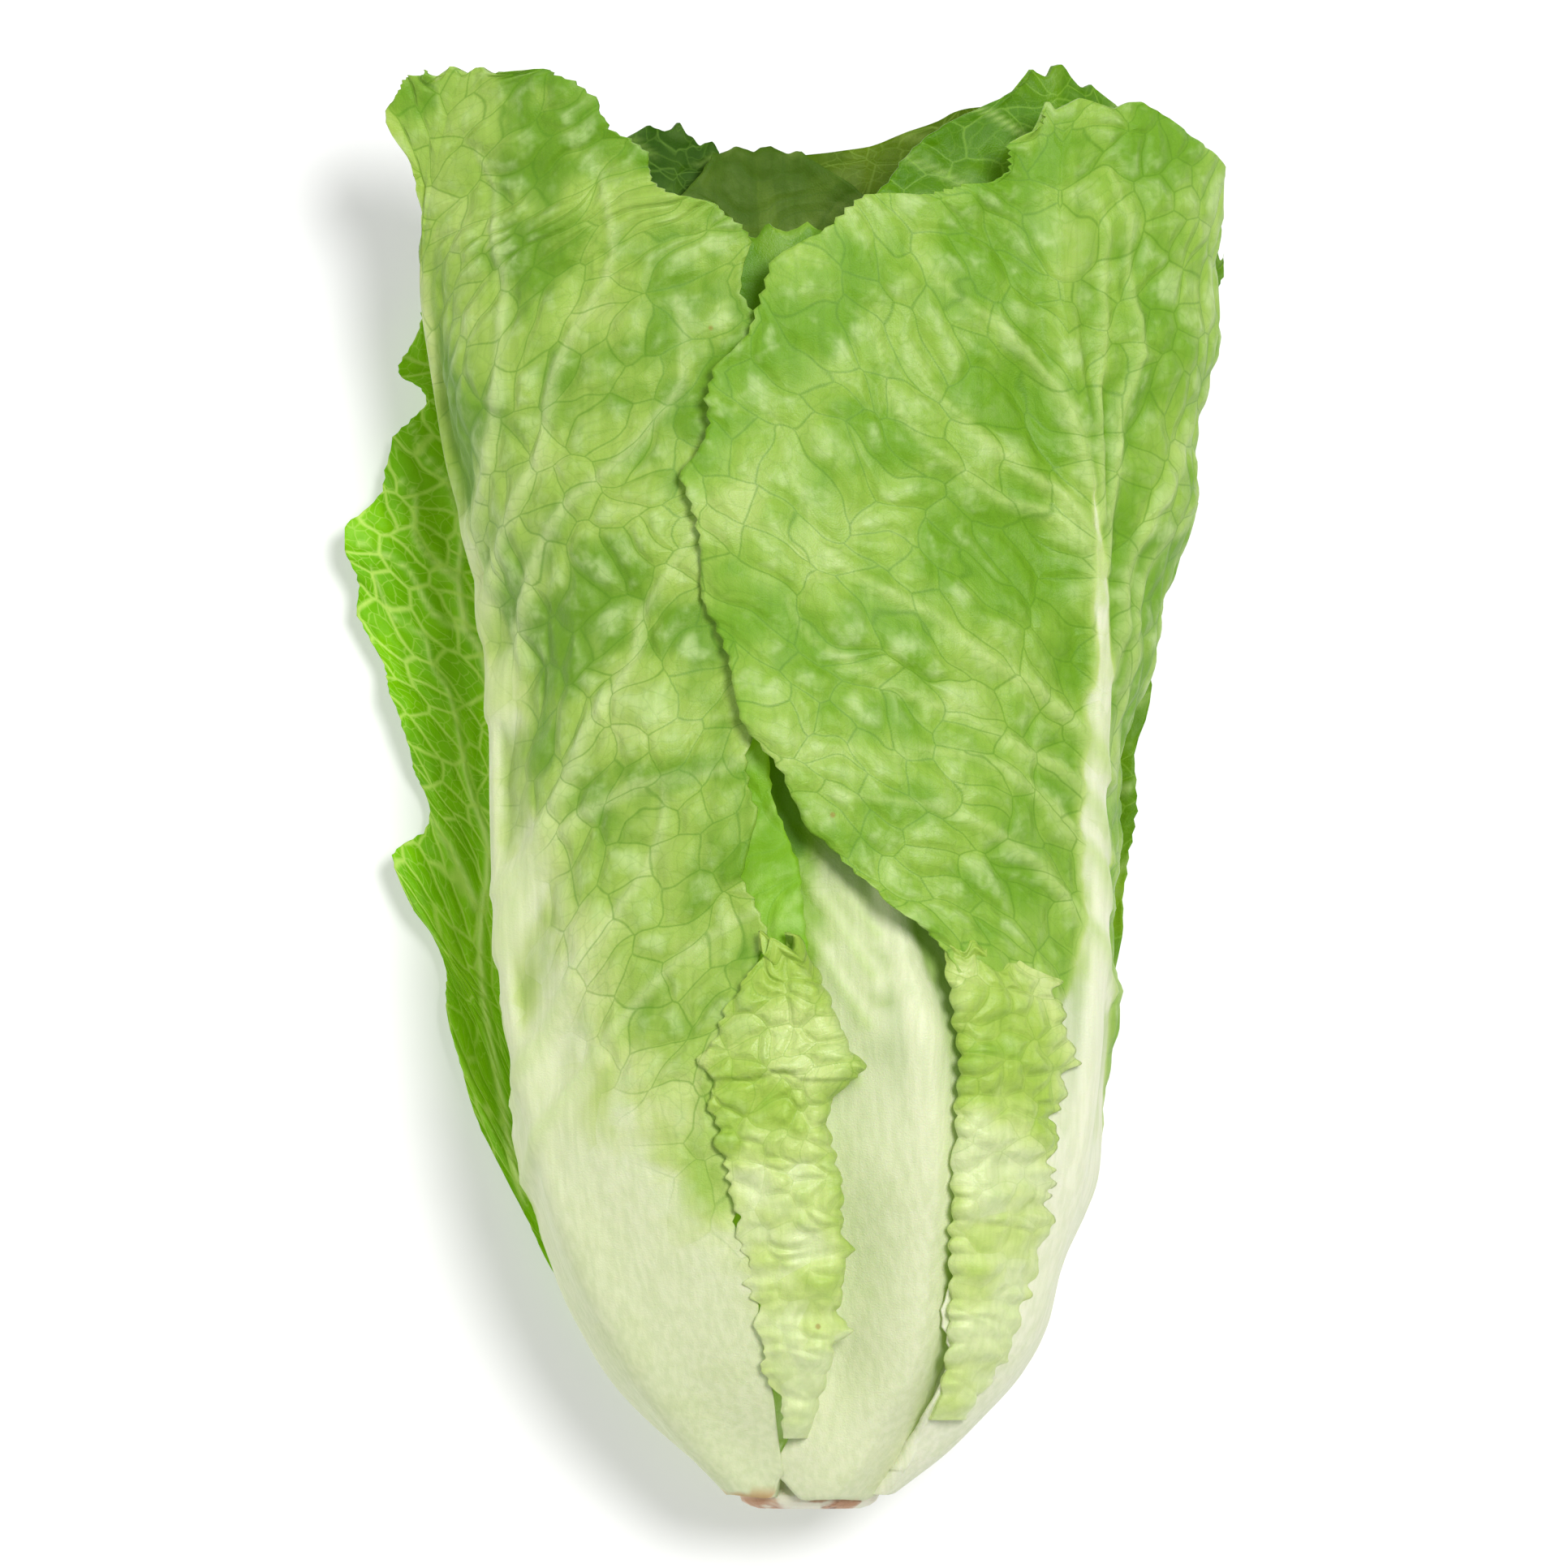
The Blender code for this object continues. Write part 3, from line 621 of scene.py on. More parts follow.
class Dressing(Wiring):
    """A new material with its shader, its place on the head and the shared grain."""

    def __init__(self, name: str) -> None:
        """Start the material.

        Args:
            name: The material's name.
        """
        self.made = bpy.data.materials.new(name)
        self.made.use_nodes = True
        super().__init__(self.made.node_tree)
        self.shader = self.tree.nodes["Principled BSDF"]
        self.place = self.node("ShaderNodeTexCoord").outputs["Object"]
        self.along = self.node("ShaderNodeSeparateXYZ", None, Vector=self.place).outputs[1]
        self.grain = self.node("ShaderNodeGroup", {"node_tree": Finishes.grain}, Place=self.place).outputs

    def attribute(self, name: str) -> Output:
        """Return the three numbers that a piece keeps at each point under a name."""
        return self.node("ShaderNodeAttribute", {"attribute_name": name}).outputs["Vector"]

    def near_cut(self, reach: float) -> Output:
        """Return a mask that fades out over 3 mm before a distance from the origin towards the cut butt."""
        return self.ramp(self.along, -reach, CUT_FADE - reach, 1.0, 0.0)

    def complete(self, base: object, rough: object, relief: object, settings: dict) -> bpy.types.Material:
        """Join the looks to the shader.

        Args:
            base: The colour.
            rough: The roughness.
            relief: The height of the fine relief, as a share of its full height.
            settings: Plain values of the shader, by the names of its inputs.

        Returns:
            The material.
        """
        bump = self.node("ShaderNodeBump", None, Strength=BUMP_STRENGTH, Distance=BUMP_HEIGHT, Height=relief)
        looks = {"Base Color": base, "Roughness": rough, "Normal": bump.outputs[0]}
        for name, value in {**looks, **settings}.items():
            self.feed(self.shader.inputs[name], value)
        return self.made


@dataclass(frozen=True)
class LeafFinish:
    """Waxy leaf skin: colours from the white rib to the deep green blade, and the net of veins on it."""

    white: tuple = colour(232, 232, 208)
    pale: tuple = colour(186, 205, 120)
    green: tuple = colour(140, 176, 66)
    deep: tuple = colour(104, 152, 30)
    vein: tuple = colour(76, 126, 12)
    ridge: tuple = colour(184, 206, 124)
    # The pale colour laid in patches on the pillows: partly the leaf's wax bloom, partly painted sheen.
    bloom_and_sheen: tuple = colour(192, 214, 146)
    streak: tuple = colour(150, 180, 90)
    speck: tuple = colour(150, 110, 50)
    bruise: tuple = colour(200, 150, 100)
    vein_strength: float = 0.5
    fine_strength: float = 0.16
    ridge_strength: float = 0.7
    bloom_and_sheen_strength: float = 0.62
    # How far the hollows are darkened towards the deep green: painted shade.
    hollow_shade_strength: float = 0.6
    net_width: float = 0.038
    relief: float = 1.0
    roughness: float = 0.47
    shine: float = 0.42
    subsurface: float = 0.12
    scatter: tuple = (0.5, 1.0, 0.15)
    bending: float = 1.42
    # Painted light: a faint yellow-green glow that lifts the shade, in place of light that shines through the
    # thin leaves.
    painted_glow: tuple = colour(120, 170, 10)
    painted_glow_strength: float = 0.10

    def material(self, name: str) -> bpy.types.Material:
        """Make the material.

        Args:
            name: The material's name.

        Returns:
            The new material.
        """
        dressing = Dressing(name)
        tint = dressing.node("ShaderNodeSeparateXYZ", None, Vector=dressing.attribute("tint")).outputs
        drawn = {"node_tree": Finishes.net}
        net_place = dressing.attribute("net")
        net = dressing.node("ShaderNodeGroup", drawn, Net=net_place, Width=self.net_width).outputs
        grain = dressing.grain
        shown = dressing.ramp(tint[0], 0.08, 0.75)
        base = self.blade_colour(dressing, tint, net)
        streaks = dressing.ramp(grain["Streak"], 0.3, 0.7, 0.0, 0.16)
        spots = dressing.ramp(dressing.noise(dressing.place, 110.0, 2.0), 0.52, 0.60)
        layers = (
            (dressing.times(tint[1], self.ridge_strength), self.ridge, "MIX"),
            (dressing.times(net["Coarse"], self.vein_strength, shown), self.vein, "MIX"),
            (dressing.times(net["Fine"], self.fine_strength, shown), self.vein, "MIX"),
            (streaks, self.streak, "MULTIPLY"),
            (dressing.times(grain["Speck"], 0.6), self.speck, "MIX"),
            (dressing.times(dressing.near_cut(0.1185), spots), self.bruise, "MIX"),
        )
        for share, laid, mode in layers:
            base = dressing.blend(share, base, laid, mode)
        settings = {
            "IOR": self.bending,
            "Specular IOR Level": self.shine,
            "Subsurface Weight": self.subsurface,
            "Subsurface Radius": self.scatter,
            "Subsurface Scale": SCATTER_DEPTH,
            # Painted light: the glow that stands in for light shining through the leaves.
            "Emission Color": self.painted_glow,
            "Emission Strength": self.painted_glow_strength,
        }
        rough = dressing.ramp(grain["Patch"], 0.3, 0.7, self.roughness - 0.06, self.roughness + 0.1)
        return dressing.complete(base, rough, self.fine_relief(dressing, tint, net, shown), settings)

    def blade_colour(self, dressing: Dressing, tint: object, net: object) -> Output:
        """Return the blade's colour under its veins, with pale patches on the pillows between them: partly
        the leaf's wax bloom, partly painted sheen.

        Args:
            dressing: The material that is being made.
            tint: The outputs for how green the blade is, its ridges and its hollows.
            net: The outputs of the net of veins.

        Returns:
            The colour.
        """
        green, hollow = tint[0], tint[2]
        uneven = dressing.ramp(dressing.grain["Patch"], 0.3, 0.7, -0.3, 0.3)
        share = dressing.ramp(green, 0.0, 0.35, 0.15, 1.0)
        greenness = dressing.maths("MULTIPLY_ADD", uneven, share, green)
        greenness = dressing.maths("ADD", greenness, dressing.ramp(net["Cell"], 0.0, 1.0, -0.07, 0.07))
        base = dressing.blend(dressing.ramp(greenness, 0.0, 0.42), self.white, self.pale)
        base = dressing.blend(dressing.ramp(greenness, 0.3, 0.75), base, self.green)
        base = dressing.blend(dressing.ramp(greenness, 0.72, 1.15), base, self.deep)
        # Wax bloom and painted sheen: pale patches on the pillows, fewer in the hollows.
        bloom_and_sheen_share = dressing.times(
            dressing.ramp(dressing.grain["Bloom And Sheen"], 0.44, 0.70),
            net["Pillow"],
            dressing.ramp(green, 0.1, 0.5, 0.0, self.bloom_and_sheen_strength),
            dressing.ramp(hollow, 0.0, 0.8, 1.0, 0.25),
        )
        # Painted shade: the blade is darkened towards the deep green in the hollows.
        base = dressing.blend(dressing.ramp(hollow, 0.1, 1.0, 0.0, self.hollow_shade_strength), base, self.deep)
        return dressing.blend(bloom_and_sheen_share, base, self.bloom_and_sheen)

    def fine_relief(self, dressing: Dressing, tint: object, net: object, shown: object) -> Output:
        """Return the height of what is too fine for the mesh: small pillows, streaks on the ribs and grain.

        Args:
            dressing: The material that is being made.
            tint: The outputs for how green the blade is, its ridges and its hollows.
            net: The outputs of the net of veins.
            shown: How far the net shows.

        Returns:
            The height, as a share of the full one.
        """
        pillows = dressing.times(net["Pillow"], self.relief)
        pillows = dressing.maths("MULTIPLY_ADD", net["Fine Pillow"], 0.07 * self.relief, pillows)
        pillows = dressing.times(pillows, shown)
        relief = dressing.maths("MULTIPLY_ADD", dressing.grain["Grain"], 0.35, pillows)
        streaked = dressing.times(dressing.grain["Streak"], dressing.ramp(tint[0], 0.0, 0.5, 0.3, 0.0))
        return dressing.maths("ADD", streaked, relief)


@dataclass(frozen=True)
class StemFinish:
    """Moist cut flesh: cream, with tan patches and a few brown spots at the cut."""

    cream: tuple = colour(238, 236, 208)
    tan: tuple = colour(196, 142, 94)
    brown: tuple = colour(150, 98, 58)
    subsurface: float = 0.15

    def material(self, name: str) -> bpy.types.Material:
        """Make the material.

        Args:
            name: The material's name.

        Returns:
            The new material.
        """
        dressing = Dressing(name)
        place, grain = dressing.place, dressing.grain
        patches = dressing.ramp(dressing.noise(place, 130.0, 3.0), 0.42, 0.54)
        patches = dressing.times(dressing.near_cut(0.1190), patches)
        dark = dressing.times(patches, dressing.ramp(dressing.noise(place, 420.0, 2.0), 0.55, 0.68))
        base = dressing.blend(dark, dressing.blend(patches, self.cream, self.tan), self.brown)
        relief = dressing.maths("MULTIPLY_ADD", grain["Grain"], 0.5, dressing.times(dark, -0.8))
        settings = {"Subsurface Weight": self.subsurface, "Subsurface Scale": SCATTER_DEPTH}
        rough = dressing.ramp(grain["Patch"], 0.3, 0.7, 0.35, 0.55)
        return dressing.complete(base, rough, relief, settings)


def fine_slab(columns: int, rows: int) -> bpy.types.Mesh:
    """Make a thin closed slab over a grid, from -1 to 1 across and along and from 0 to 1 in height.

    Args:
        columns: How many faces lie across it.
        rows: How many lie along it.

    Returns:
        The mesh.
    """
    data = bmesh.new()
    bmesh.ops.create_grid(data, x_segments=columns, y_segments=rows, size=1.0)
    raised = bmesh.ops.extrude_face_region(data, geom=data.faces[:], use_keep_orig=True)
    corners = [item for item in raised["geom"] if isinstance(item, bmesh.types.BMVert)]
    bmesh.ops.translate(data, verts=corners, vec=Vector((0.0, 0.0, 1.0)))
    bmesh.ops.recalc_face_normals(data, faces=data.faces[:])
    return kept_mesh(data, "slab")


def kept_mesh(data: bmesh.types.BMesh, name: str) -> bpy.types.Mesh:
    """Keep what was modelled as a mesh.

    Args:
        data: The modelled faces, which are freed.
        name: The mesh's name.

    Returns:
        The mesh.
    """
    mesh = bpy.data.meshes.new(name)
    data.to_mesh(mesh)
    data.free()
    return mesh


def mesh_places(mesh: bpy.types.Mesh) -> np.ndarray:
    """Read a mesh's points.

    Args:
        mesh: The mesh.

    Returns:
        The points, as rows of three numbers.
    """
    places = np.empty(len(mesh.vertices) * 3, np.float32)
    mesh.vertices.foreach_get("co", places)
    return places.reshape(-1, 3).astype(float)


def faces_outwards(mesh: bpy.types.Mesh, places: np.ndarray) -> bool:
    """Say whether a closed mesh has its faces pointing out, from the sign of its volume.

    Args:
        mesh: The mesh.
        places: Where its points are.

    Returns:
        Whether they point out.
    """
    mesh.calc_loop_triangles()
    corners = np.empty(len(mesh.loop_triangles) * 3, np.int32)
    mesh.loop_triangles.foreach_get("vertices", corners)
    a, b, c = places[corners.reshape(-1, 3)].transpose(1, 0, 2)
    return float((a * np.cross(b, c)).sum()) > 0


class Piece:
    """What every built piece has: a name, the node that it stands for and a slot for its finish."""

    name: str
    node: str
    slot: str

    def finish_mesh(
        self, mesh: bpy.types.Mesh, places: np.ndarray, masks: dict, material: bpy.types.Material
    ) -> bpy.types.Object:
        """Turn shaped points into a smooth piece of the head.

        Args:
            mesh: The mesh whose points are placed.
            places: The points in millimetres.
            masks: Arrays of three numbers a point, kept as attributes for the material.
            material: The piece's material.

        Returns:
            The piece, riding on the body and standing for its node.
        """
        low, high = (np.array(corner) / MM for corner in CAD_BOX)
        places = np.clip(places, low, high)
        mesh.vertices.foreach_set("co", (places * MM).astype(np.float32).ravel())
        if not faces_outwards(mesh, places):
            mesh.flip_normals()
        for name, values in masks.items():
            kept = mesh.attributes.new(name, "FLOAT_VECTOR", "POINT")
            kept.data.foreach_set("vector", values.astype(np.float32).ravel())
        mesh.materials.append(material)
        mesh.shade_smooth()
        mesh.update()
        mesh.name = self.name
        thing = bpy.data.objects.new(self.name, mesh)
        bpy.context.scene.collection.objects.link(thing)
        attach(thing, BODY)
        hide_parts(self.node)
        log.info("%s: %d faces", self.name, len(mesh.polygons))
        return thing


# How far the white zone reaches from the midrib, against the distance from the butt.
RIB_ZONE = (
    (0.0, 55.0), (18.0, 34.0), (35.0, 19.0), (50.0, 12.0), (75.0, 9.0), (102.0, 7.0), (140.0, 4.0),
    (175.0, 1.5), (240.0, 0.6),
)
REAR_ZONE = ((0.0, 20.0), (60.0, 4.0), (120.0, 1.2), (240.0, 0.3))
FLOOR_ZONE = ((0.0, 20.0), (40.0, 3.0), (80.0, 0.5), (240.0, 0.2))

# Where a leaf's relief starts and where it is full: shares of its length, shares of its half width
# counted from the midrib, and distances from the midrib.
GROWN = (0.05, 0.15)
TIP_EDGE = (0.93, 1.0)
BASE_CORNERS = (0.45, 1.0)
RUFFLED = (0.55, 1.0)
LOBED = (0.8, 1.0)
FRILLED = (0.86, 1.0)
NIBBLED = (0.93, 1.0)
THIN_MARGIN = (0.75, 1.0)
BESIDE_RIB = (1.5, 4.0)
RIDGED = (3.0, 9.0)
QUILTED = (2.0, 8.0)
# How much closer together the faces lie at the midrib than at the margins.
CROWDING = 1.15

# Distances from the butt where an effect starts and where it is full.
HOLLOWS_START = (38.0, 115.0)
HOLLOWS_END = (180.0, 215.0)
WHITE_NARROWS = (50.0, 190.0)
RIB_GREENS = (70.0, 190.0)
TIP_GREENS = (190.0, 225.0)
TIP_FLATTENS = (180.0, 210.0)

# Which noise each effect takes, added to the leaf's own seed except at the tip.
NIBBLE_SEED = 3.0
FRILL_SEED = 5.0
FLUTTER_SEED = 6.0
WANDER_SEED = 7.0
TIP_SEED = 9.0
SWELL_SEED = 11.0
SMALL_SWELL_SEED = 12.0
# How far the net of veins is bent, in cells, over which distance, and by which noise.
NET_BENDS = ((0.40, 9.0, 21.0), (0.07, 3.0, 23.0))


@dataclass(kw_only=True)
class Spots:
    """Points of a leaf, one array for each measure.

    They lie across it from the left margin, -1, to the right one, 1, and along it from the base, 0, to the
    tip, 1. Seen from above they have a sideways place and a distance from the butt. The last two measures are
    their distance away from the midrib and how far up the midrib they belong.
    """

    across: np.ndarray
    along: np.ndarray
    sideways: np.ndarray
    from_butt: np.ndarray
    away: np.ndarray
    up: np.ndarray


@dataclass(kw_only=True)
class Leaf(Piece):
    """One leaf: its lines seen from above as (sideways, from the butt), its layer and its relief."""

    name: str
    side: Side = Side.FRONT
    middle: tuple
    left: tuple
    right: tuple
    depth: float = 0.0
    finish: LeafFinish
    rib: tuple = (4.0, 3.0, 0.3)
    rib_width: tuple = (8.0, 5.0, 1.5)
    rib_power: float = 2.0
    columns: int
    rows: int
    ruffle: float = 0.8
    frill: float = 0.9
    tip_frill: float = 0.8
    teeth: float = 0.8
    waves: float = 9.0
    ridges: float = 0.5
    ridge_count: float = 6.0
    seed: float
    quilt: float = 0.55
    swell: float = 1.0
    cell_length: float = 8.5
    cell_gap: float = 6.0
    slant: float = 0.8
    vein_gap: float = 16.0
    vein_height: float = 0.5
    veins: tuple = ()
    vein_width: float = 0.95
    hollow_reach: float = 17.0
    hollow_depth: float = 2.0
    # Painted shade: how much greener and darker the hollows are coloured.
    hollow_shade_green: float = 0.35
    puff_height: float = 0.9
    white_zone: tuple = RIB_ZONE
    white_softness: float = 26.0
    tip_rib_green: float = 0.42
    flat_tip: float = 0.0
    green_from: tuple = (5.0, 120.0)
    green_range: tuple = (0.0, 0.85)

    def __post_init__(self) -> None:
        """Take the node and the slot from the name."""
        self.node = self.slot = self.name

    def sheet_line(self, line: tuple) -> np.ndarray:
        """Give a line of the leaf in its own sheet.

        Args:
            line: The line's points seen from above.

        Returns:
            The angle round the head, or the sideways place on the floor, and the distance from the butt.
        """
        points = np.asarray(line, float)
        if self.side is Side.FLOOR:
            return points
        depth = np.minimum(self.depth, DRAWN_DEPTH_SHARE * points[:, 1])
        return np.stack([Head.angle(self.side, points[:, 0], points[:, 1], depth), points[:, 1]], 1)

    def layer_depth(self, at: Spots) -> np.ndarray:
        """Return the depth of the leaf's outer face before its rib and ripples are added."""
        return np.full(at.across.shape, self.depth)

    def rib_height(self, away: np.ndarray, along: np.ndarray) -> np.ndarray:
        """Return how much thicker the midrib makes the leaf at distances from its middle."""
        share = away / three_way(self.rib_width, along)
        return three_way(self.rib, along) * np.exp(-(share**self.rib_power) * RIB_FALL)

    def base_shift(self, lines: tuple, across: np.ndarray, away: np.ndarray) -> np.ndarray:
        """Return how much deeper the leaf's base must start to sit on the stem.

        Args:
            lines: The midrib and the two margins in the leaf's own sheet.
            across: Where each point is between the left margin, -1, and the right one, 1.
            away: Its distance from the midrib.

        Returns:
            One depth for each point.
        """
        start = np.zeros(across.shape)
        middle = follow(lines[0], start)
        edge = np.where((across < 0)[:, None], follow(lines[1], start), follow(lines[2], start))
        base = middle + (edge - middle) * np.abs(across)[:, None]
        rib = self.rib_height(away, start)
        sideways = Head.place(base[:, 0], base[:, 1], start)[:, 0]
        at = Spots(across=across, along=start, sideways=sideways, from_butt=base[:, 1], away=away, up=start)
        own = self.layer_depth(at) - RIB_OUTWARD_SHARE * rib
        return Head.stem_depth(base[:, 0], base[:, 1]) - CLEARANCE - BLADE - rib - own

    def side_veins(self, at: Spots) -> tuple:
        """Raise the side veins that leave the midrib.

        Args:
            at: The leaf's points.

        Returns:
            The height of the veins with the hollows and bulges between them, and two masks, one for the veins
            and one for the hollows.
        """
        if self.veins:
            return self.drawn_veins(at)
        phase = (at.up - self.slant * at.away) / self.vein_gap
        phase = phase + 0.12 * drift(at.away / 14, at.up / 14, self.seed)
        gap = np.abs(phase - np.round(phase)) * self.vein_gap / math.hypot(1.0, self.slant)
        fading = np.exp(-at.away / VEIN_REACH) * step(*BESIDE_RIB, at.away)
        mask = np.exp(-((gap / (self.vein_width * 0.6)) ** 2)) * fading
        return self.vein_height * mask, mask, np.zeros(at.away.shape)

    def drawn_veins(self, at: Spots) -> tuple:
        """Raise the side veins that are drawn one by one.

        Args:
            at: The leaf's points.

        Returns:
            The same three as side_veins.
        """
        height, mask = np.zeros(at.away.shape), np.zeros(at.away.shape)
        nearest = np.full(at.away.shape, FAR_AWAY)
        for line in self.veins:
            gap, share = line_distance(from_photo(line), at.sideways, at.from_butt)
            width = self.vein_width * (1.25 - 0.75 * share)
            crest = np.exp(-((gap / width) ** 2)) * (1 - 0.5 * share)
            height = np.maximum(height, self.vein_height * crest)
            mask = np.maximum(mask, crest)
            nearest = np.minimum(nearest, gap + 3.0 * share)
        close = np.exp(-((at.away / self.hollow_reach) ** 2)) * step(*HOLLOWS_START, at.from_butt)
        close = close * (1 - 0.85 * step(*HOLLOWS_END, at.from_butt))
        hollow = (1 - np.exp(-((nearest / HOLLOW_EDGE) ** 2))) * close * step(*BESIDE_RIB, at.away)
        puffed = step(1.5, 9.0, nearest) * (1 - close)
        return height - self.hollow_depth * hollow + self.puff_height * puffed, mask, hollow

    def greenness(self, at: Spots) -> np.ndarray:
        """Return how green the blade is, from 0 on the white rib to 1.

        Args:
            at: The leaf's points.

        Returns:
            One value for each point.
        """
        white = read_table(self.white_zone, at.from_butt)
        wander = 3.0 * drift(at.away / 9.0, at.from_butt / 13.0, self.seed + WANDER_SEED)
        narrowing = 1.0 - 0.85 * step(*WHITE_NARROWS, at.from_butt)
        softness = self.white_softness * narrowing
        blade = step(-0.2, 1.0, (at.away + wander * narrowing - white) / softness)
        low, high = self.green_range
        strength = low + (high - low) * step(*self.green_from, at.from_butt)
        rib_green = self.tip_rib_green * step(*RIB_GREENS, at.from_butt)
        rib_green = rib_green + 0.5 * step(*TIP_GREENS, at.from_butt)
        return np.maximum(blade * strength, rib_green)

    def build(self) -> bpy.types.Object:
        """Make the leaf.

        Returns:
            The leaf.
        """
        mesh = fine_slab(self.columns, self.rows)
        flat = mesh_places(mesh)
        across = np.copysign(np.abs(flat[:, 0]) ** CROWDING, flat[:, 0])
        along = (flat[:, 1] + 1.0) / 2.0
        places, masks = self.shape(across, along, flat[:, 2] > 0.5)
        return self.finish_mesh(mesh, places, masks, self.finish.material(self.name))

    def shape(self, across: np.ndarray, along: np.ndarray, outer: np.ndarray) -> tuple[np.ndarray, dict]:
        """Place the leaf's points.

        Args:
            across: Where each point is between the left margin, -1, and the right one, 1.
            along: Where it is between the base, 0, and the tip, 1.
            outer: Whether it is on the face that is turned out.

        Returns:
            The places in millimetres, and the masks for the material.
        """
        lines = tuple(self.sheet_line(line) for line in (self.middle, self.left, self.right))
        middle = follow(lines[0], along)
        span = np.where((across < 0)[:, None], follow(lines[1], along), follow(lines[2], along)) - middle
        reach = np.abs(across)
        width = np.hypot(span[:, 0] * self.sheet_scale(middle[:, 1]), span[:, 1])
        bite = self.margin_bite(across, along) * step(*GROWN, along)
        place = middle + span * reach[:, None]
        place = place - span * (reach * bite / np.maximum(width, NARROWEST))[:, None]
        rounding = BASE_ROUNDING * step(*BASE_CORNERS, reach) ** 2 * (1.0 - step(0.0, 0.08, along))
        place[:, 1] += rounding - self.tip_bite(across, along)
        none = np.zeros(len(reach))
        top = place if self.side is Side.FLOOR else Head.place(place[:, 0], place[:, 1], none)
        seen = {"sideways": top[:, 0], "from_butt": place[:, 1]}
        at = Spots(across=across, along=along, away=width * reach, up=middle[:, 1], **seen)
        relief, masks = self.relief(at)
        rib = self.rib_height(at.away, along)
        blade = BLADE * (1.0 - (1.0 - TIP_THINNING) * along) * (1.0 - 0.5 * step(*THIN_MARGIN, reach))
        thickness = blade + rib
        if self.side is Side.FLOOR:
            return self.floor_places(place, thickness, relief, outer), masks
        depth = self.layer_depth(at) - RIB_OUTWARD_SHARE * rib - relief
        depth = depth + self.base_shift(lines, across, at.away) * (1.0 - step(0.0, BASE_BLEND, along))
        places = Head.place(place[:, 0], place[:, 1], np.where(outer, depth, depth + thickness))
        if self.flat_tip:
            crest = Head.place(middle[:, 0], middle[:, 1], none)[:, 2]
            share = self.flat_tip * step(*TIP_FLATTENS, at.from_butt) * (across < 0)
            places[:, 2] += share * (crest - top[:, 2])
        return places, masks

    def relief(self, at: Spots) -> tuple[np.ndarray, dict]:
        """Return how high each point stands over the plain sheet, and the masks for the material.

        Args:
            at: The leaf's points.

        Returns:
            The heights, and the masks by name.
        """
        vein_height, vein_mask, hollow = self.side_veins(at)
        # Painted shade: the hollows are coloured greener and darker.
        green = self.greenness(at) + self.hollow_shade_green * hollow
        net = self.net_places(at)
        grown = step(*GROWN, at.along)
        plump = step(0.0, 0.42, edge_distance(net[:, :2])) - 0.5
        loose = step(*QUILTED, at.away) * (0.12 + 0.88 * step(0.1, 0.6, green)) * grown
        swell = drift(at.sideways / 17.0, at.from_butt / 24.0, self.seed + SWELL_SEED)
        small = drift(at.sideways / 8.0, at.from_butt / 10.0, self.seed + SMALL_SWELL_SEED)
        swell = self.swell * (swell + 0.28 * small)
        relief = self.waviness(at) + vein_height * grown + (self.quilt * plump + swell) * loose
        return relief, {"net": net, "tint": np.stack([green, vein_mask, hollow], 1)}

    def sheet_scale(self, from_butt: np.ndarray) -> np.ndarray:
        """Return how many millimetres one unit across the leaf's sheet is.

        Args:
            from_butt: Places along the head.

        Returns:
            The mean radius of the leaf's layer, or 1 for a leaf on the floor.
        """
        if self.side is Side.FLOOR:
            return np.ones(len(from_butt))
        half_left, half_right, half_height, _, _ = Head.skin(from_butt)
        return (half_left + half_right + 2 * half_height) / 4 - self.depth

    def waviness(self, at: Spots) -> np.ndarray:
        """Return the height of the ruffles and frills at the margins and the low ridges between.

        Args:
            at: The leaf's points.

        Returns:
            One height for each point.
        """
        along, reach, grown = at.along, np.abs(at.across), step(*GROWN, at.along)
        ripple = self.ruffle * np.sin(2 * math.pi * (along * self.waves * 0.5 + 0.35 * at.across))
        ripple = ripple * step(*RUFFLED, reach) * grown
        flutter = drift(along * self.waves * 2.2, np.sign(at.across) * 3.0 + 0.5, self.seed + FLUTTER_SEED)
        ripple += self.frill * flutter * step(*FRILLED, reach) * grown
        ridge = self.ridges * np.cos(2 * math.pi * along * self.ridge_count) * step(*RIDGED, at.away)
        ridge = ridge * (1 - step(0.6, 1.0, reach)) * step(0.1, 0.25, along) * (1 - step(0.85, 1.0, along))
        return ripple + ridge

    def margin_bite(self, across: np.ndarray, along: np.ndarray) -> np.ndarray:
        """Return how far the side margins are scalloped inwards, in three sizes of tooth.

        Args:
            across: Where each point is between the left margin, -1, and the right one, 1.
            along: Where it is between the base, 0, and the tip, 1.

        Returns:
            One distance for each point.
        """
        reach, side = np.abs(across), np.sign(across) * 5.0 + 0.5
        lobes = self.teeth * tooth(along * self.waves + 0.3 * across) * step(*LOBED, reach)
        middling = 0.8 * self.frill * drift(along * self.waves * 2.3, side, self.seed + FRILL_SEED)
        nibble = drift(along * self.waves * 6.0, side, self.seed + NIBBLE_SEED)
        nibble = nibble + 0.6 * tooth(along * self.waves * 7.0)
        return lobes + middling * step(*FRILLED, reach) + 0.4 * self.frill * nibble * step(*NIBBLED, reach)

    def tip_bite(self, across: np.ndarray, along: np.ndarray) -> np.ndarray:
        """Return how far the tip's edge is scalloped towards the butt.

        Args:
            across: Where each point is between the left margin, -1, and the right one, 1.
            along: Where it is between the base, 0, and the tip, 1.

        Returns:
            One distance for each point.
        """
        row = np.full(across.shape, self.seed)
        lobes = tooth(across * 1.3 + self.seed * 0.37) + 0.6 * drift(across * 6.0, row, TIP_SEED)
        return self.tip_frill * (lobes + 0.8) * step(*TIP_EDGE, along)

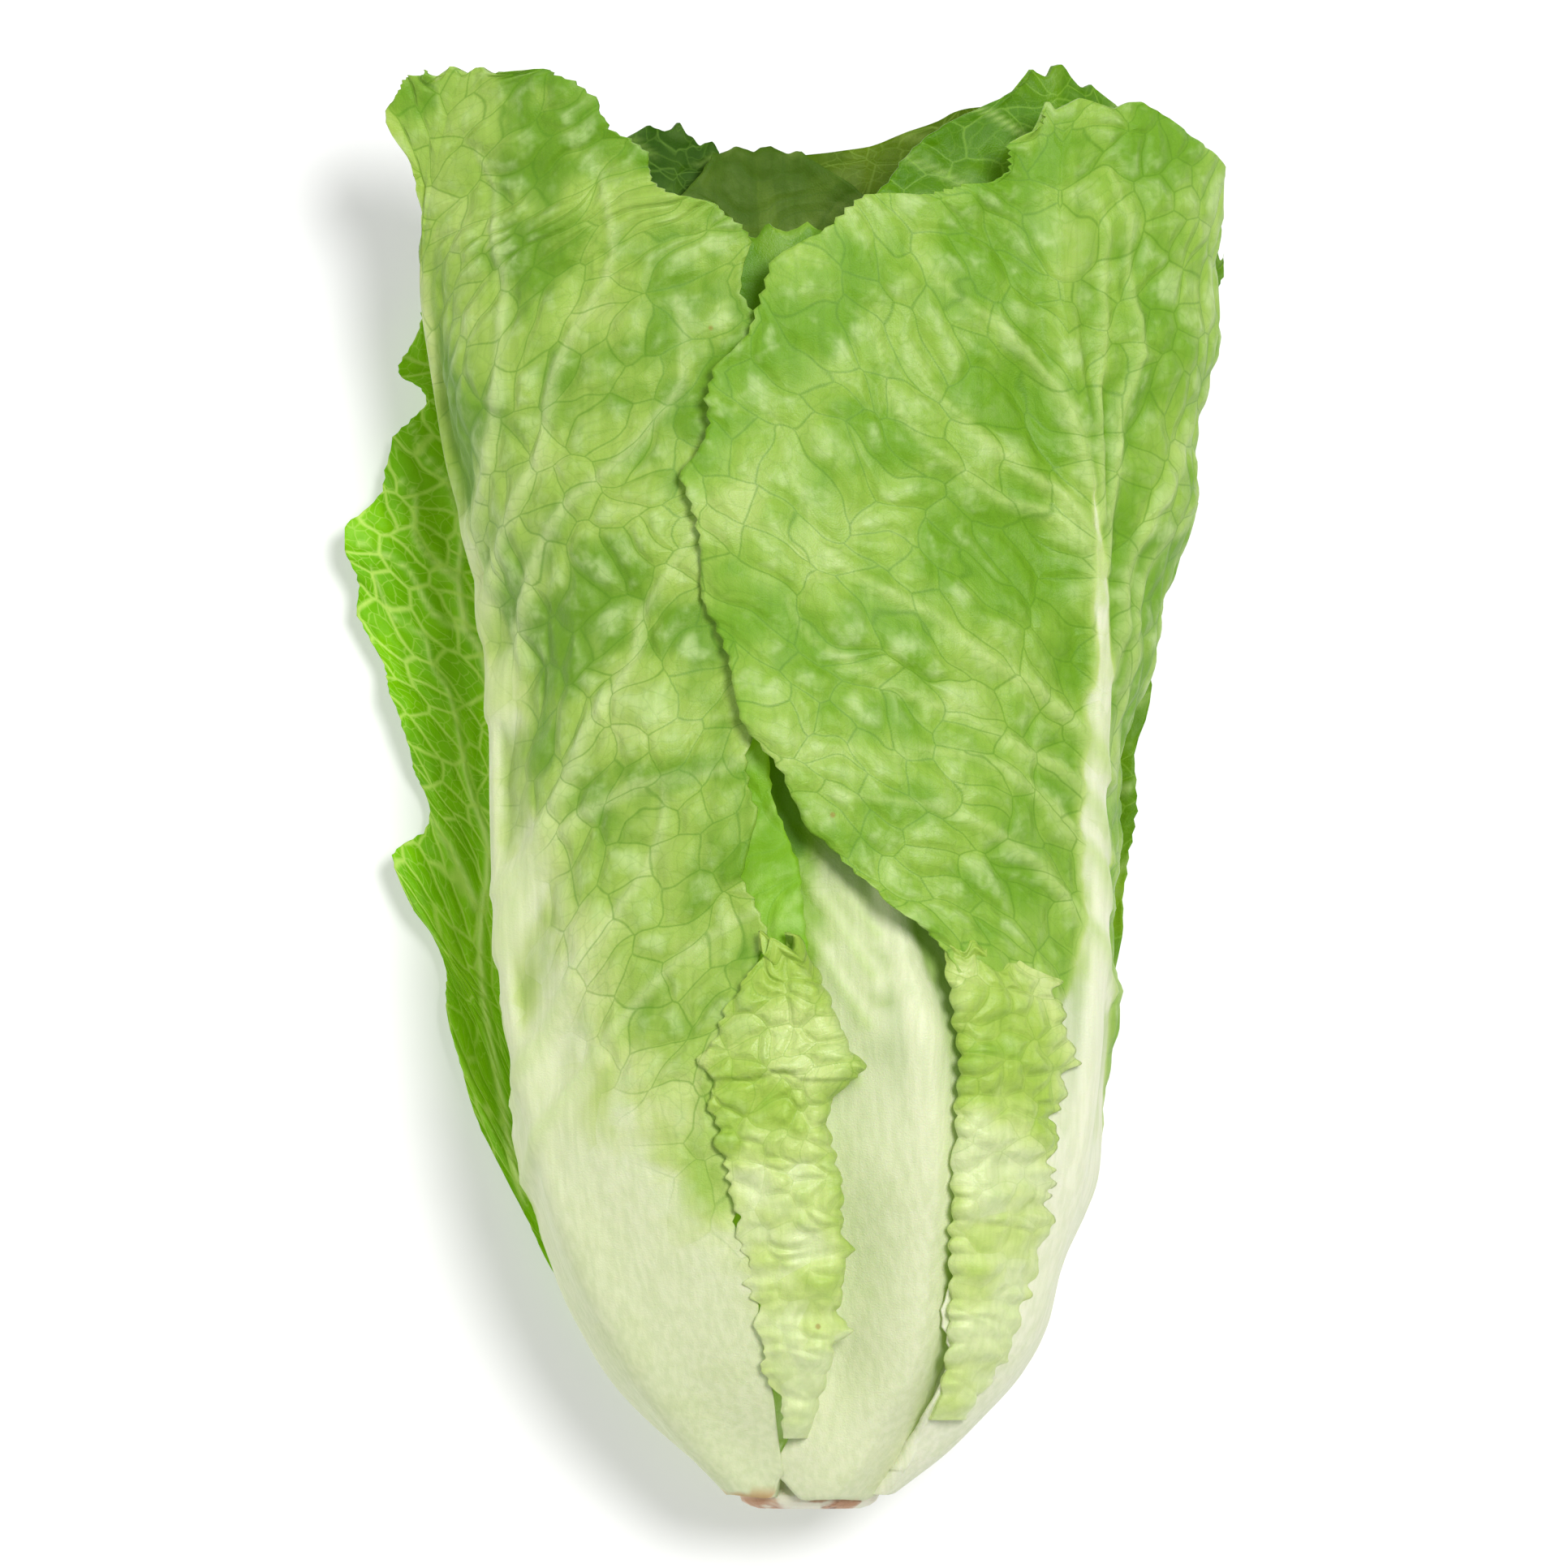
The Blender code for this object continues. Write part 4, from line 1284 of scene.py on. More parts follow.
    def net_places(self, at: Spots) -> np.ndarray:
        """Return where each point lies in the net of veins, in cells, drawn out along the side veins.

        Args:
            at: The leaf's points.

        Returns:
            Rows of three numbers, the last one 0.
        """
        size = math.hypot(1.0, self.slant)
        first = (at.away + self.slant * at.up) / size / self.cell_length
        second = (at.up - self.slant * at.away) / size / self.cell_gap + self.seed * 17.0
        for amount, size, seed in NET_BENDS:
            sideways, from_butt = at.sideways / size, at.from_butt / size
            first = first + amount * drift(sideways, from_butt, self.seed + seed)
            second = second + amount * drift(sideways, from_butt, self.seed + seed + 1.0)
        return np.stack([first, second, np.zeros(len(at.away))], 1)

    def lowest_height(self, place: np.ndarray) -> np.ndarray:
        """Return the height of the underside of a leaf on the floor before its ripples are added."""
        return Head.floor_height(place[:, 0], place[:, 1])

    def floor_places(
        self, place: np.ndarray, thickness: np.ndarray, ripple: np.ndarray, outer: np.ndarray
    ) -> np.ndarray:
        """Place the points of a leaf that lies on the floor, flat below and curling up at its margins.

        Args:
            place: The points seen from above.
            thickness: How thick the leaf is at each.
            ripple: How high its ripples are.
            outer: Whether the point is on the face that is turned out, here the lower one.

        Returns:
            The points, as rows of three numbers.
        """
        lowest = self.lowest_height(place)
        lift = step(FLOOR_FLAT_HALF, FLOOR_FLAT_HALF + 8.0, np.abs(place[:, 0] - FLOOR_CENTRE_X))
        under = np.maximum(lowest + ripple * lift - FLOOR_SINK, 0.0)
        top = np.maximum(lowest + ripple * lift, FLOOR_SINK) + thickness
        return np.stack([place[:, 0], place[:, 1] - BUTT_TO_ORIGIN, np.where(outer, under, top)], 1)


@dataclass(kw_only=True)
class BigLeaf(Leaf):
    """One of the two big front leaves, with more faces and more waves than the others."""

    columns: int = 190
    rows: int = 225
    waves: float = 15.0
    ridge_count: float = 9.0


@dataclass(kw_only=True)
class FrontLeftLeaf(BigLeaf):
    """The front left leaf, which dips where the front right one lies over it."""

    dip: float = 2.2

    def layer_depth(self, at: Spots) -> np.ndarray:
        """Return the depth as for any leaf, with the dip added."""
        covered = step(105.0, 130.0, at.from_butt) * (1 - step(205.0, 220.0, at.from_butt))
        return self.depth + self.dip * step(-22.0, -12.0, at.sideways) * covered


@dataclass(kw_only=True)
class FrontRightLeaf(BigLeaf):
    """The front right leaf, whose left margin lies over the front left leaf."""

    raised: float = 1.0

    def layer_depth(self, at: Spots) -> np.ndarray:
        """Return the depth as for any leaf, with the left margin raised."""
        return self.depth - self.raised * step(0.5, 1.0, -at.across) * step(0.35, 0.5, at.along)


@dataclass(kw_only=True)
class CentreLeaf(Leaf):
    """The centre leaf: its sides sink under the others low down, and all of it higher up."""

    left_sink: float = 6.6
    right_sink: float = 1.8
    tip_sink: float = 7.2
    sinks_at: tuple = (0.40, 0.5)

    def layer_depth(self, at: Spots) -> np.ndarray:
        """Return the depth as for any leaf, with the places that sink.

        Args:
            at: The leaf's points.

        Returns:
            One depth for each point.
        """
        high = step(*self.sinks_at, at.along)
        low = step(0.05, 0.16, at.along) * (1 - high)
        sides = self.left_sink * step(0.0, 0.6, -at.across) + self.right_sink * step(0.3, 0.9, at.across)
        return self.depth + sides * low + self.tip_sink * high


@dataclass(kw_only=True)
class FloorLeaf(Leaf):
    """A leaf that lies on the floor under the head, its upper side turned up."""

    side: Side = Side.FLOOR
    ridges: float = 0.3
    white_zone: tuple = FLOOR_ZONE
    green_from: tuple = (0.0, 50.0)


@dataclass(kw_only=True)
class BackRightLeaf(FloorLeaf):
    """The right one of the two leaves on the floor, whose left part lies on the left one."""

    overlap: float = 2.6

    def lowest_height(self, place: np.ndarray) -> np.ndarray:
        """Return the height as for any leaf on the floor, with the left part raised."""
        raised = self.overlap * (1 - step(30.0, 42.0, place[:, 0]))
        return Head.floor_height(place[:, 0], place[:, 1]) + raised + 0.15


@dataclass(kw_only=True)
class RearLeaf(Leaf):
    """A dark leaf that lies under the middle of the head and is seen into at the top."""

    side: Side = Side.BACK
    rib: tuple = (2.6, 2.8, 0.4)
    rib_width: tuple = (3.5, 4.5, 1.5)
    white_zone: tuple = REAR_ZONE
    white_softness: float = 5.0
    green_range: tuple = (0.5, 1.1)


@dataclass(kw_only=True)
class RearRightLeaf(RearLeaf):
    """The right rear leaf, whose left part sinks under the centre one."""

    sink: float = 2.2

    def layer_depth(self, at: Spots) -> np.ndarray:
        """Return the depth as for any leaf, with the left part deeper."""
        return self.depth + self.sink * (1 - step(12.0, 20.0, at.sideways))


@dataclass(kw_only=True)
class HeartLeaf(Leaf):
    """A small pale leaf inside the head."""

    depth: float = 17.5
    rib: tuple = (2.0, 2.0, 0.4)
    columns: int = 44
    ruffle: float = 0.5


@dataclass
class FoldedMargin(Piece):
    """A margin folded back over its own blade: a crinkled strip with a lumpy fold and a toothed free edge."""

    name: str
    node: str
    rows: tuple
    start_depth: float
    top_depth: float
    turn: float
    seed: float
    finish: LeafFinish
    fold_spikes: tuple = ()
    free_spikes: tuple = ()
    overlap: float = 0.0
    overlap_from: float = 72.2
    settle: float = 1.0
    end_drop: float = 0.0
    end_frill: float = 2.0
    columns: int = 64
    rows_along: int = 300
    green_range: tuple = (0.1, 0.62)
    green_from: tuple = (15.0, 92.0)
    cell_width: float = 4.2
    cell_length: float = 3.9

    def __post_init__(self) -> None:
        """Take the slot from the node."""
        self.slot = self.node

    @staticmethod
    def spikes(marks: tuple, from_butt: np.ndarray) -> np.ndarray:
        """Return how far pointed teeth stand out.

        Args:
            marks: For each tooth, its distance from the butt, its length and its half width.
            from_butt: Places along the head.

        Returns:
            One distance for each place.
        """
        out = np.zeros(from_butt.shape)
        for centre, length, half_width in marks:
            share = np.clip(1 - np.abs(from_butt - centre) / half_width, 0.0, 1.0)
            out = np.maximum(out, length * share**1.2)
        return out

    def section(self, from_butt: np.ndarray, along: np.ndarray, hook: np.ndarray) -> np.ndarray:
        """Return the middle of the strip's section, a hook over the blade.

        Args:
            from_butt: Places along the head.
            along: Places along the strip, from 0 to 1.
            hook: Places along the hook, from 0 under the fold to 1 at the free edge.

        Returns:
            The sideways place and the depth of each point.
        """
        fold = read_table(self.rows, from_butt, 1)
        free = read_table(self.rows, from_butt, 2)
        open_share = step(0.0, 0.12, along) * (1 - step(0.92, 1.0, along))
        flat = np.zeros(len(hook))
        reach = np.maximum(self.turn * (free - fold) * (0.5 + 0.5 * open_share), FOLD_BEND + 1.5)
        teeth = 0.6 * tooth(along * 11.0) + 0.6 * drift(from_butt * 0.9, flat, self.seed)
        reach = reach + teeth * open_share
        reach = reach + self.spikes(self.free_spikes, from_butt)
        uneven = 1.2 * drift(from_butt / 7.0, flat, self.seed + 7)
        lumps = 0.8 * np.abs(np.sin(math.pi * from_butt / 3.8 + uneven))
        lumps = lumps + 0.4 * drift(from_butt / 6.0, flat, self.seed)
        outset = (lumps + self.spikes(self.fold_spikes, from_butt)) * open_share
        bend_height = (self.start_depth - self.top_depth) / 2 * (1 - self.end_drop * step(0.84, 1.0, along))
        lump = 0.5 * np.sin(2 * math.pi * along * 7.0) * np.sin(math.pi * hook)
        turned = math.pi * np.clip((hook - FOLD_START) / (FOLD_END - FOLD_START), 0.0, 1.0)
        out = np.clip((hook - FOLD_END) / (1 - FOLD_END), 0.0, 1.0)
        root = FOLD_ROOT * np.clip(1 - hook / FOLD_START, 0.0, 1.0)
        bend = FOLD_BEND * (1 - np.sin(turned)) - outset * np.sin(turned)
        sideways = fold + self.turn * (bend + root + (reach - FOLD_BEND) * out)
        depth = self.start_depth - bend_height * (1 - np.cos(turned)) + self.settle * out**1.5 - lump
        return np.stack([sideways, depth], 1)

    def section_normal(self, from_butt: np.ndarray, along: np.ndarray, hook: np.ndarray) -> np.ndarray:
        """Return the direction square to the strip's section at each point.

        Args:
            from_butt: Places along the head.
            along: Places along the strip, from 0 to 1.
            hook: Places along the hook, from 0 to 1.

        Returns:
            Rows of two numbers, sideways and depth.
        """
        ahead = self.section(from_butt, along, np.minimum(hook + HOOK_STEP, 1.0))
        behind = self.section(from_butt, along, np.maximum(hook - HOOK_STEP, 0.0))
        run = ahead - behind
        run /= np.maximum(np.hypot(run[:, 0], run[:, 1]), TINY)[:, None]
        return np.stack([run[:, 1], -run[:, 0]], 1)

    def build(self) -> bpy.types.Object:
        """Make the strip.

        Returns:
            The strip.
        """
        mesh = fine_slab(self.columns, self.rows_along)
        flat = mesh_places(mesh)
        hook, along, outer = (flat[:, 0] + 1) / 2, (flat[:, 1] + 1) / 2, flat[:, 2] > 0.5
        start, end = self.rows[0][0], self.rows[-1][0]
        from_butt = start + (end - start) * along
        here = self.section(from_butt, along, hook)
        normal = self.section_normal(from_butt, along, hook)
        relief, net, crinkle = self.crinkles(here[:, 0], from_butt, hook)
        thickness = np.where(outer, 1.0, -1.0) * BLADE / 2 * (1 - 0.55 * step(0.8, 1.0, hook))
        outwards = np.where(normal[:, 1] > 0, -1.0, 1.0)
        here = here + normal * (thickness + relief * outwards)[:, None]
        none = np.zeros(len(hook))
        frilled = self.end_frill * (0.7 * tooth(hook * 3.3) + 0.8 * drift(hook * 9.0, none, self.seed + 8))
        from_butt = from_butt - frilled * step(0.9, 1.0, along)
        places = Head.place(Head.angle(Side.FRONT, here[:, 0], from_butt, none), from_butt, here[:, 1])
        low, high = self.green_range
        green = low + (high - low) * step(*self.green_from, from_butt) + 0.12 * crinkle
        masks = {"net": net, "tint": np.stack([green, none, none], 1)}
        return self.finish_mesh(mesh, places, masks, self.finish.material(self.name))

    def crinkles(self, sideways: np.ndarray, from_butt: np.ndarray, hook: np.ndarray) -> tuple:
        """Raise the strip's small pillows, crinkles and pleats.

        Args:
            sideways: Places to the right.
            from_butt: Places along the head.
            hook: Places along the hook, from 0 to 1.

        Returns:
            The relief, the places in the net of veins, and the crinkles alone.
        """
        none = np.zeros(len(hook))
        wander = drift(from_butt / 5.0, sideways / 5.0, self.seed)
        first = sideways / self.cell_width + 0.35 * wander
        second = from_butt / self.cell_length + self.seed * 3 + 0.35 * wander
        net = np.stack([first, second, none], 1)
        plump = step(0.0, 0.45, edge_distance(net[:, :2])) - 0.35
        crinkle = 0.8 * drift(sideways / 5.0, from_butt / 3.6, self.seed + 1)
        crinkle = crinkle + 0.5 * drift(sideways / 2.6, from_butt / 2.2, self.seed + 2)
        flutter = 0.6 * drift(from_butt / 2.6, hook * 1.5, self.seed + 3) * step(0.7, 1.0, hook)
        uneven = 1.6 * drift(from_butt / 7.0, sideways / 6.0, self.seed + 4)
        pleat = np.abs(np.sin(math.pi * from_butt / 3.9 + uneven))
        relief = 0.55 * plump + 0.6 * crinkle + 0.1 * pleat + flutter
        edge = from_butt - 1.2 * drift(sideways / 3, none, 5.0)
        relief = relief + self.overlap * step(self.overlap_from, self.overlap_from + 0.8, edge)
        return relief * step(FOLD_START, FOLD_END, hook), net, crinkle


@dataclass
class Stem(Piece):
    """The stem: a cut butt with a rim, narrowing to the growing tip inside the head."""

    name: str = "stem"
    node: str = "stem"
    slot: str = "stem_flesh"
    around: int = 96
    rings_between: int = 4
    widest: float = 11.6
    unevenness: float = 0.25

    def build(self) -> bpy.types.Object:
        """Make the stem.

        Returns:
            The stem.
        """
        data = bmesh.new()
        rings = (len(STEM_PROFILE) - 1) * self.rings_between + 1
        bmesh.ops.create_uvsphere(data, u_segments=self.around, v_segments=rings + 1, radius=1.0)
        mesh = kept_mesh(data, self.name)
        ball = mesh_places(mesh)
        ring = np.arccos(np.clip(ball[:, 2], -1.0, 1.0)) / math.pi * (rings + 1)
        share = np.clip(np.round(ring) - 1, 0, rings - 1) / self.rings_between
        profile = np.array(STEM_PROFILE)
        from_butt = np.interp(share, np.arange(len(profile)), profile[:, 0])
        radius = np.minimum(np.interp(share, np.arange(len(profile)), profile[:, 1]), self.widest)
        pole = (np.round(ring) == 0) | (np.round(ring) == rings + 1)
        radius = np.where(pole, 0.0, radius)
        around = np.arctan2(ball[:, 1], ball[:, 0])
        radius = radius + self.unevenness * drift(around * 4.0, from_butt / 3.0, 61.0) * (radius > 2.0)
        _, _, _, axis, height = Head.skin(from_butt)
        right, up = axis + radius * np.cos(around), height + radius * np.sin(around)
        places = np.stack([right, from_butt - BUTT_TO_ORIGIN, up], 1)
        return self.finish_mesh(mesh, places, {}, StemFinish().material(self.name))


UNDERSIDE = LeafFinish(green=colour(144, 180, 68), deep=colour(108, 156, 28))
PALE_UNDERSIDE = LeafFinish(
    white=colour(220, 225, 186), pale=colour(194, 208, 132), green=colour(155, 184, 80),
    deep=colour(102, 146, 26), ridge=colour(202, 216, 154), ridge_strength=0.65, hollow_shade_strength=0.4,
)
CENTRE_RIB = LeafFinish(
    white=colour(222, 225, 190), pale=colour(200, 211, 152), green=colour(146, 180, 70),
    deep=colour(88, 136, 12), vein_strength=0.12, fine_strength=0.06, ridge_strength=0.6,
    bloom_and_sheen_strength=0.1, relief=0.5, roughness=0.42, shine=0.3,
)
CRINKLED = LeafFinish(
    white=colour(214, 224, 170), pale=colour(198, 214, 132), green=colour(164, 192, 80),
    deep=colour(118, 168, 30), vein=colour(112, 152, 40), vein_strength=0.42, fine_strength=0.2,
    bloom_and_sheen_strength=0.35, relief=1.0, roughness=0.38,
)
BRIGHT = LeafFinish(
    pale=colour(126, 162, 32), green=colour(92, 136, 10), deep=colour(72, 118, 4),
    vein=colour(140, 180, 64), vein_strength=0.4, relief=0.7, bloom_and_sheen_strength=0.12, shine=0.25,
    roughness=0.45,
)
VIVID = LeafFinish(
    pale=colour(168, 200, 84), green=colour(138, 182, 62), deep=colour(112, 160, 36),
    vein=colour(98, 148, 30), vein_strength=0.5, relief=1.0, bloom_and_sheen_strength=0.35, shine=0.3,
    painted_glow_strength=0.3,
)
UPPER_SIDE = LeafFinish(
    white=colour(206, 226, 130), pale=colour(158, 206, 40), green=colour(120, 186, 4),
    deep=colour(96, 164, 2), vein=colour(186, 214, 106), ridge=colour(206, 226, 140), vein_strength=0.85,
    fine_strength=0.42, ridge_strength=1.0, bloom_and_sheen_strength=0.1, net_width=0.11, relief=0.8, roughness=0.45,
    shine=0.14, painted_glow_strength=0.28,
)
DARK = LeafFinish(
    white=colour(140, 160, 80), pale=colour(90, 124, 40), green=colour(62, 98, 14), deep=colour(44, 80, 8),
    vein=colour(100, 136, 50), ridge=colour(124, 152, 70), bloom_and_sheen=colour(110, 140, 70), vein_strength=0.5,
    fine_strength=0.3, bloom_and_sheen_strength=0.25, roughness=0.5, shine=0.12, painted_glow_strength=0.03,
)
OLIVE = replace(
    DARK,
    white=colour(150, 166, 80), pale=colour(120, 146, 50), green=colour(104, 128, 24),
    deep=colour(80, 106, 14), vein=colour(132, 158, 66), ridge=colour(150, 170, 84),
    bloom_and_sheen=colour(130, 152, 84), vein_strength=0.45,
)
DULL = replace(
    DARK,
    white=colour(146, 162, 92), pale=colour(118, 142, 62), green=colour(94, 120, 40),
    deep=colour(72, 100, 26), vein=colour(70, 102, 28), ridge=colour(128, 150, 74),
    bloom_and_sheen=colour(122, 144, 78), vein_strength=0.45, fine_strength=0.2, bloom_and_sheen_strength=0.3,
)
HEART = LeafFinish(
    white=colour(214, 222, 160), pale=colour(204, 216, 126), green=colour(180, 204, 84),
    deep=colour(156, 190, 60),
)

# The side veins that can be made out in the photo, each as a line of pixel places from the midrib outwards.
LEFT_VEINS = (
    ((590, 700), (590, 636), (604, 560), (618, 474), (619, 400), (608, 260), (590, 190)),
    ((604, 780), (620, 681), (646, 611), (668, 560), (680, 474), (703, 420), (735, 363), (754, 315),
     (753, 260), (740, 215)),
    ((618, 880), (640, 770), (671, 688), (703, 627), (729, 601), (777, 555), (815, 506), (840, 471),
     (840, 411), (834, 366)),
    ((628, 1100), (680, 1000), (716, 927), (735, 885), (761, 847), (783, 809), (786, 767), (799, 745),
     (831, 697), (863, 640)),
    ((625, 1180), (650, 1080), (703, 1012), (741, 990), (783, 971), (818, 962), (895, 943), (926, 920)),
    ((635, 1360), (700, 1220), (760, 1130), (805, 1051), (818, 1006), (818, 959)),
    ((645, 1470), (700, 1350), (780, 1240), (850, 1170), (930, 1120)),
)
RIGHT_VEINS = (
    ((1345, 740), (1325, 660), (1290, 632), (1243, 620), (1187, 583), (1139, 548), (1100, 500), (1083, 435),
     (1079, 380)),
    ((1338, 670), (1308, 612), (1269, 587), (1209, 539), (1165, 500), (1139, 470), (1126, 435),
     (1105, 410)),
    ((1335, 600), (1310, 500), (1274, 448), (1230, 405), (1161, 353), (1122, 305)),
    ((1348, 640), (1354, 540), (1358, 457), (1366, 370), (1368, 300), (1355, 250)),
    ((1352, 700), (1386, 517), (1404, 431), (1399, 348), (1391, 283), (1370, 210)),
    ((1362, 830), (1404, 674), (1447, 578), (1482, 500), (1495, 435)),
    ((1370, 960), (1392, 780), (1421, 695), (1464, 622), (1478, 560)),
    ((1355, 960), (1330, 900), (1290, 860), (1217, 812), (1143, 756), (1074, 721), (1031, 695), (1005, 660),
     (996, 630), (978, 590), (961, 535), (948, 491)),
    ((1362, 1060), (1330, 977), (1300, 946), (1252, 920), (1200, 888), (1139, 864), (1083, 842),
     (1035, 808), (996, 786), (970, 740)),
    ((1364, 1120), (1330, 1040), (1280, 985), (1230, 945), (1165, 925), (1083, 933), (1013, 925),
     (950, 945)),
    ((1368, 1220), (1330, 1130), (1270, 1060), (1200, 1015), (1143, 994), (1083, 985), (1030, 980)),
)
CENTRE_VEINS = (
    ((1075, 1260), (1020, 1180), (985, 1125), (950, 1085)),
    ((1085, 1200), (1040, 1135), (1010, 1100), (980, 1070)),
    ((1095, 1150), (1060, 1105), (1035, 1080), (1005, 1050)),
    ((1065, 1330), (1010, 1250), (975, 1190), (940, 1140)),
)
BACK_LEFT_VEINS = (
    ((640, 1480), (620, 1380), (597, 1250), (590, 1150), (600, 1050), (579, 978), (566, 917), (560, 882),
     (549, 847), (537, 831), (528, 812), (521, 783), (500, 770), (480, 757), (455, 700)),
    ((605, 860), (593, 809), (572, 777), (531, 754), (504, 705), (480, 687), (440, 668)),
    ((572, 777), (563, 713), (567, 655), (549, 589), (521, 560), (505, 520)),
    ((563, 713), (534, 690), (509, 659), (510, 611), (490, 590)),
    ((585, 1120), (560, 1060), (530, 1010), (505, 960)),
)

